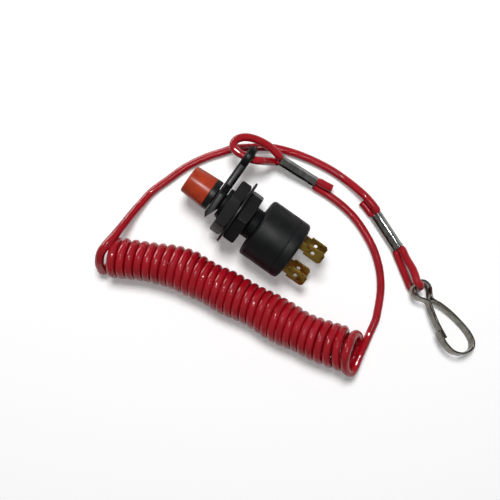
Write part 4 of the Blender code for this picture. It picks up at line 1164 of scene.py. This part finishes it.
# Table and light. A white table under one broad soft lamp, which gives the plain light and the shadows. The other
# lamps show in gloss alone: a small one and a tube overhead draw the specks and streaks on the coil, and a low
# wide screen beyond the left-hand side draws the long thin highlights on the cord.
SKY_FILL = 0.10
SKY_TO_CAMERA = 0.90
SKY_TO_GLOSS = 0.15
TABLE_WHITE = 0.9
TABLE_GLOW = 0.22
TABLE_SIZE = 6.0
# Each lamp: its name, place, size in metres, watts, and whether it shows in gloss alone.
LIGHTS = (
    ("overhead_light", (-0.25, 0.33, 1.10), (0.36, 0.36), 12.2, False),
    ("ceiling_spot", (-0.086, 0.105, 0.60), (0.03, 0.03), 2.2, True),
    ("ceiling_tube", (0.030, -0.020, 0.62), (0.02, 0.12), 0.26, True),
    ("corner_screen", (-0.756, 0.201, 0.11), (0.64, 0.10), 3.8, True),
)
LIGHT_AIM = Vector((0.01, -0.03, 0.01))
for name, place, (width, height), power, gloss_alone in LIGHTS:
    lamp = bpy.data.lights.new(name, "AREA")
    lamp.shape = "RECTANGLE"
    lamp.size = width
    lamp.size_y = height
    lamp.energy = power
    holder = bpy.data.objects.new(name, lamp)
    holder.location = place
    holder.rotation_euler = (LIGHT_AIM - Vector(place)).to_track_quat("-Z", "Y").to_euler()
    holder.visible_glossy = gloss_alone
    holder.visible_diffuse = not gloss_alone
    bpy.context.scene.collection.objects.link(holder)

world = bpy.data.worlds.new("studio")
world.use_nodes = True
bpy.context.scene.world = world
world_pen = Shade(world.node_tree)
seen = world_pen.node("ShaderNodeLightPath", output=0)
reflected = Shade(world.node_tree, seen.socket.node.outputs["Is Glossy Ray"])
strength = SKY_FILL + SKY_TO_CAMERA * seen + SKY_TO_GLOSS * reflected
world_pen.feed(world.node_tree.nodes["Background"], {"Color": (1.0, 1.0, 1.0, 1.0), "Strength": strength})

unpick()
bpy.ops.mesh.primitive_plane_add(size=TABLE_SIZE, location=(0.0, 0.0, 0.0))
table = bpy.context.object
table.name = "table_top"
start_edit(table)
bpy.ops.mesh.subdivide(number_cuts=3)
close_edit()


def table_paint(pen):
    """Plain white, a little brighter to the camera so that the open table is pure white."""
    seen = pen.node("ShaderNodeLightPath", output=0)
    return {"Emission Color": pen.blend(seen, (0.0, 0.0, 0.0, 1.0), (1.0, 1.0, 1.0, 1.0))}


table.data.materials.append(new_finish(
    "table_white", {"Base Color": (TABLE_WHITE, TABLE_WHITE, TABLE_WHITE, 1.0), "Roughness": 0.9,
                    "Specular IOR Level": 0.0, "Emission Strength": TABLE_GLOW}, table_paint,
))
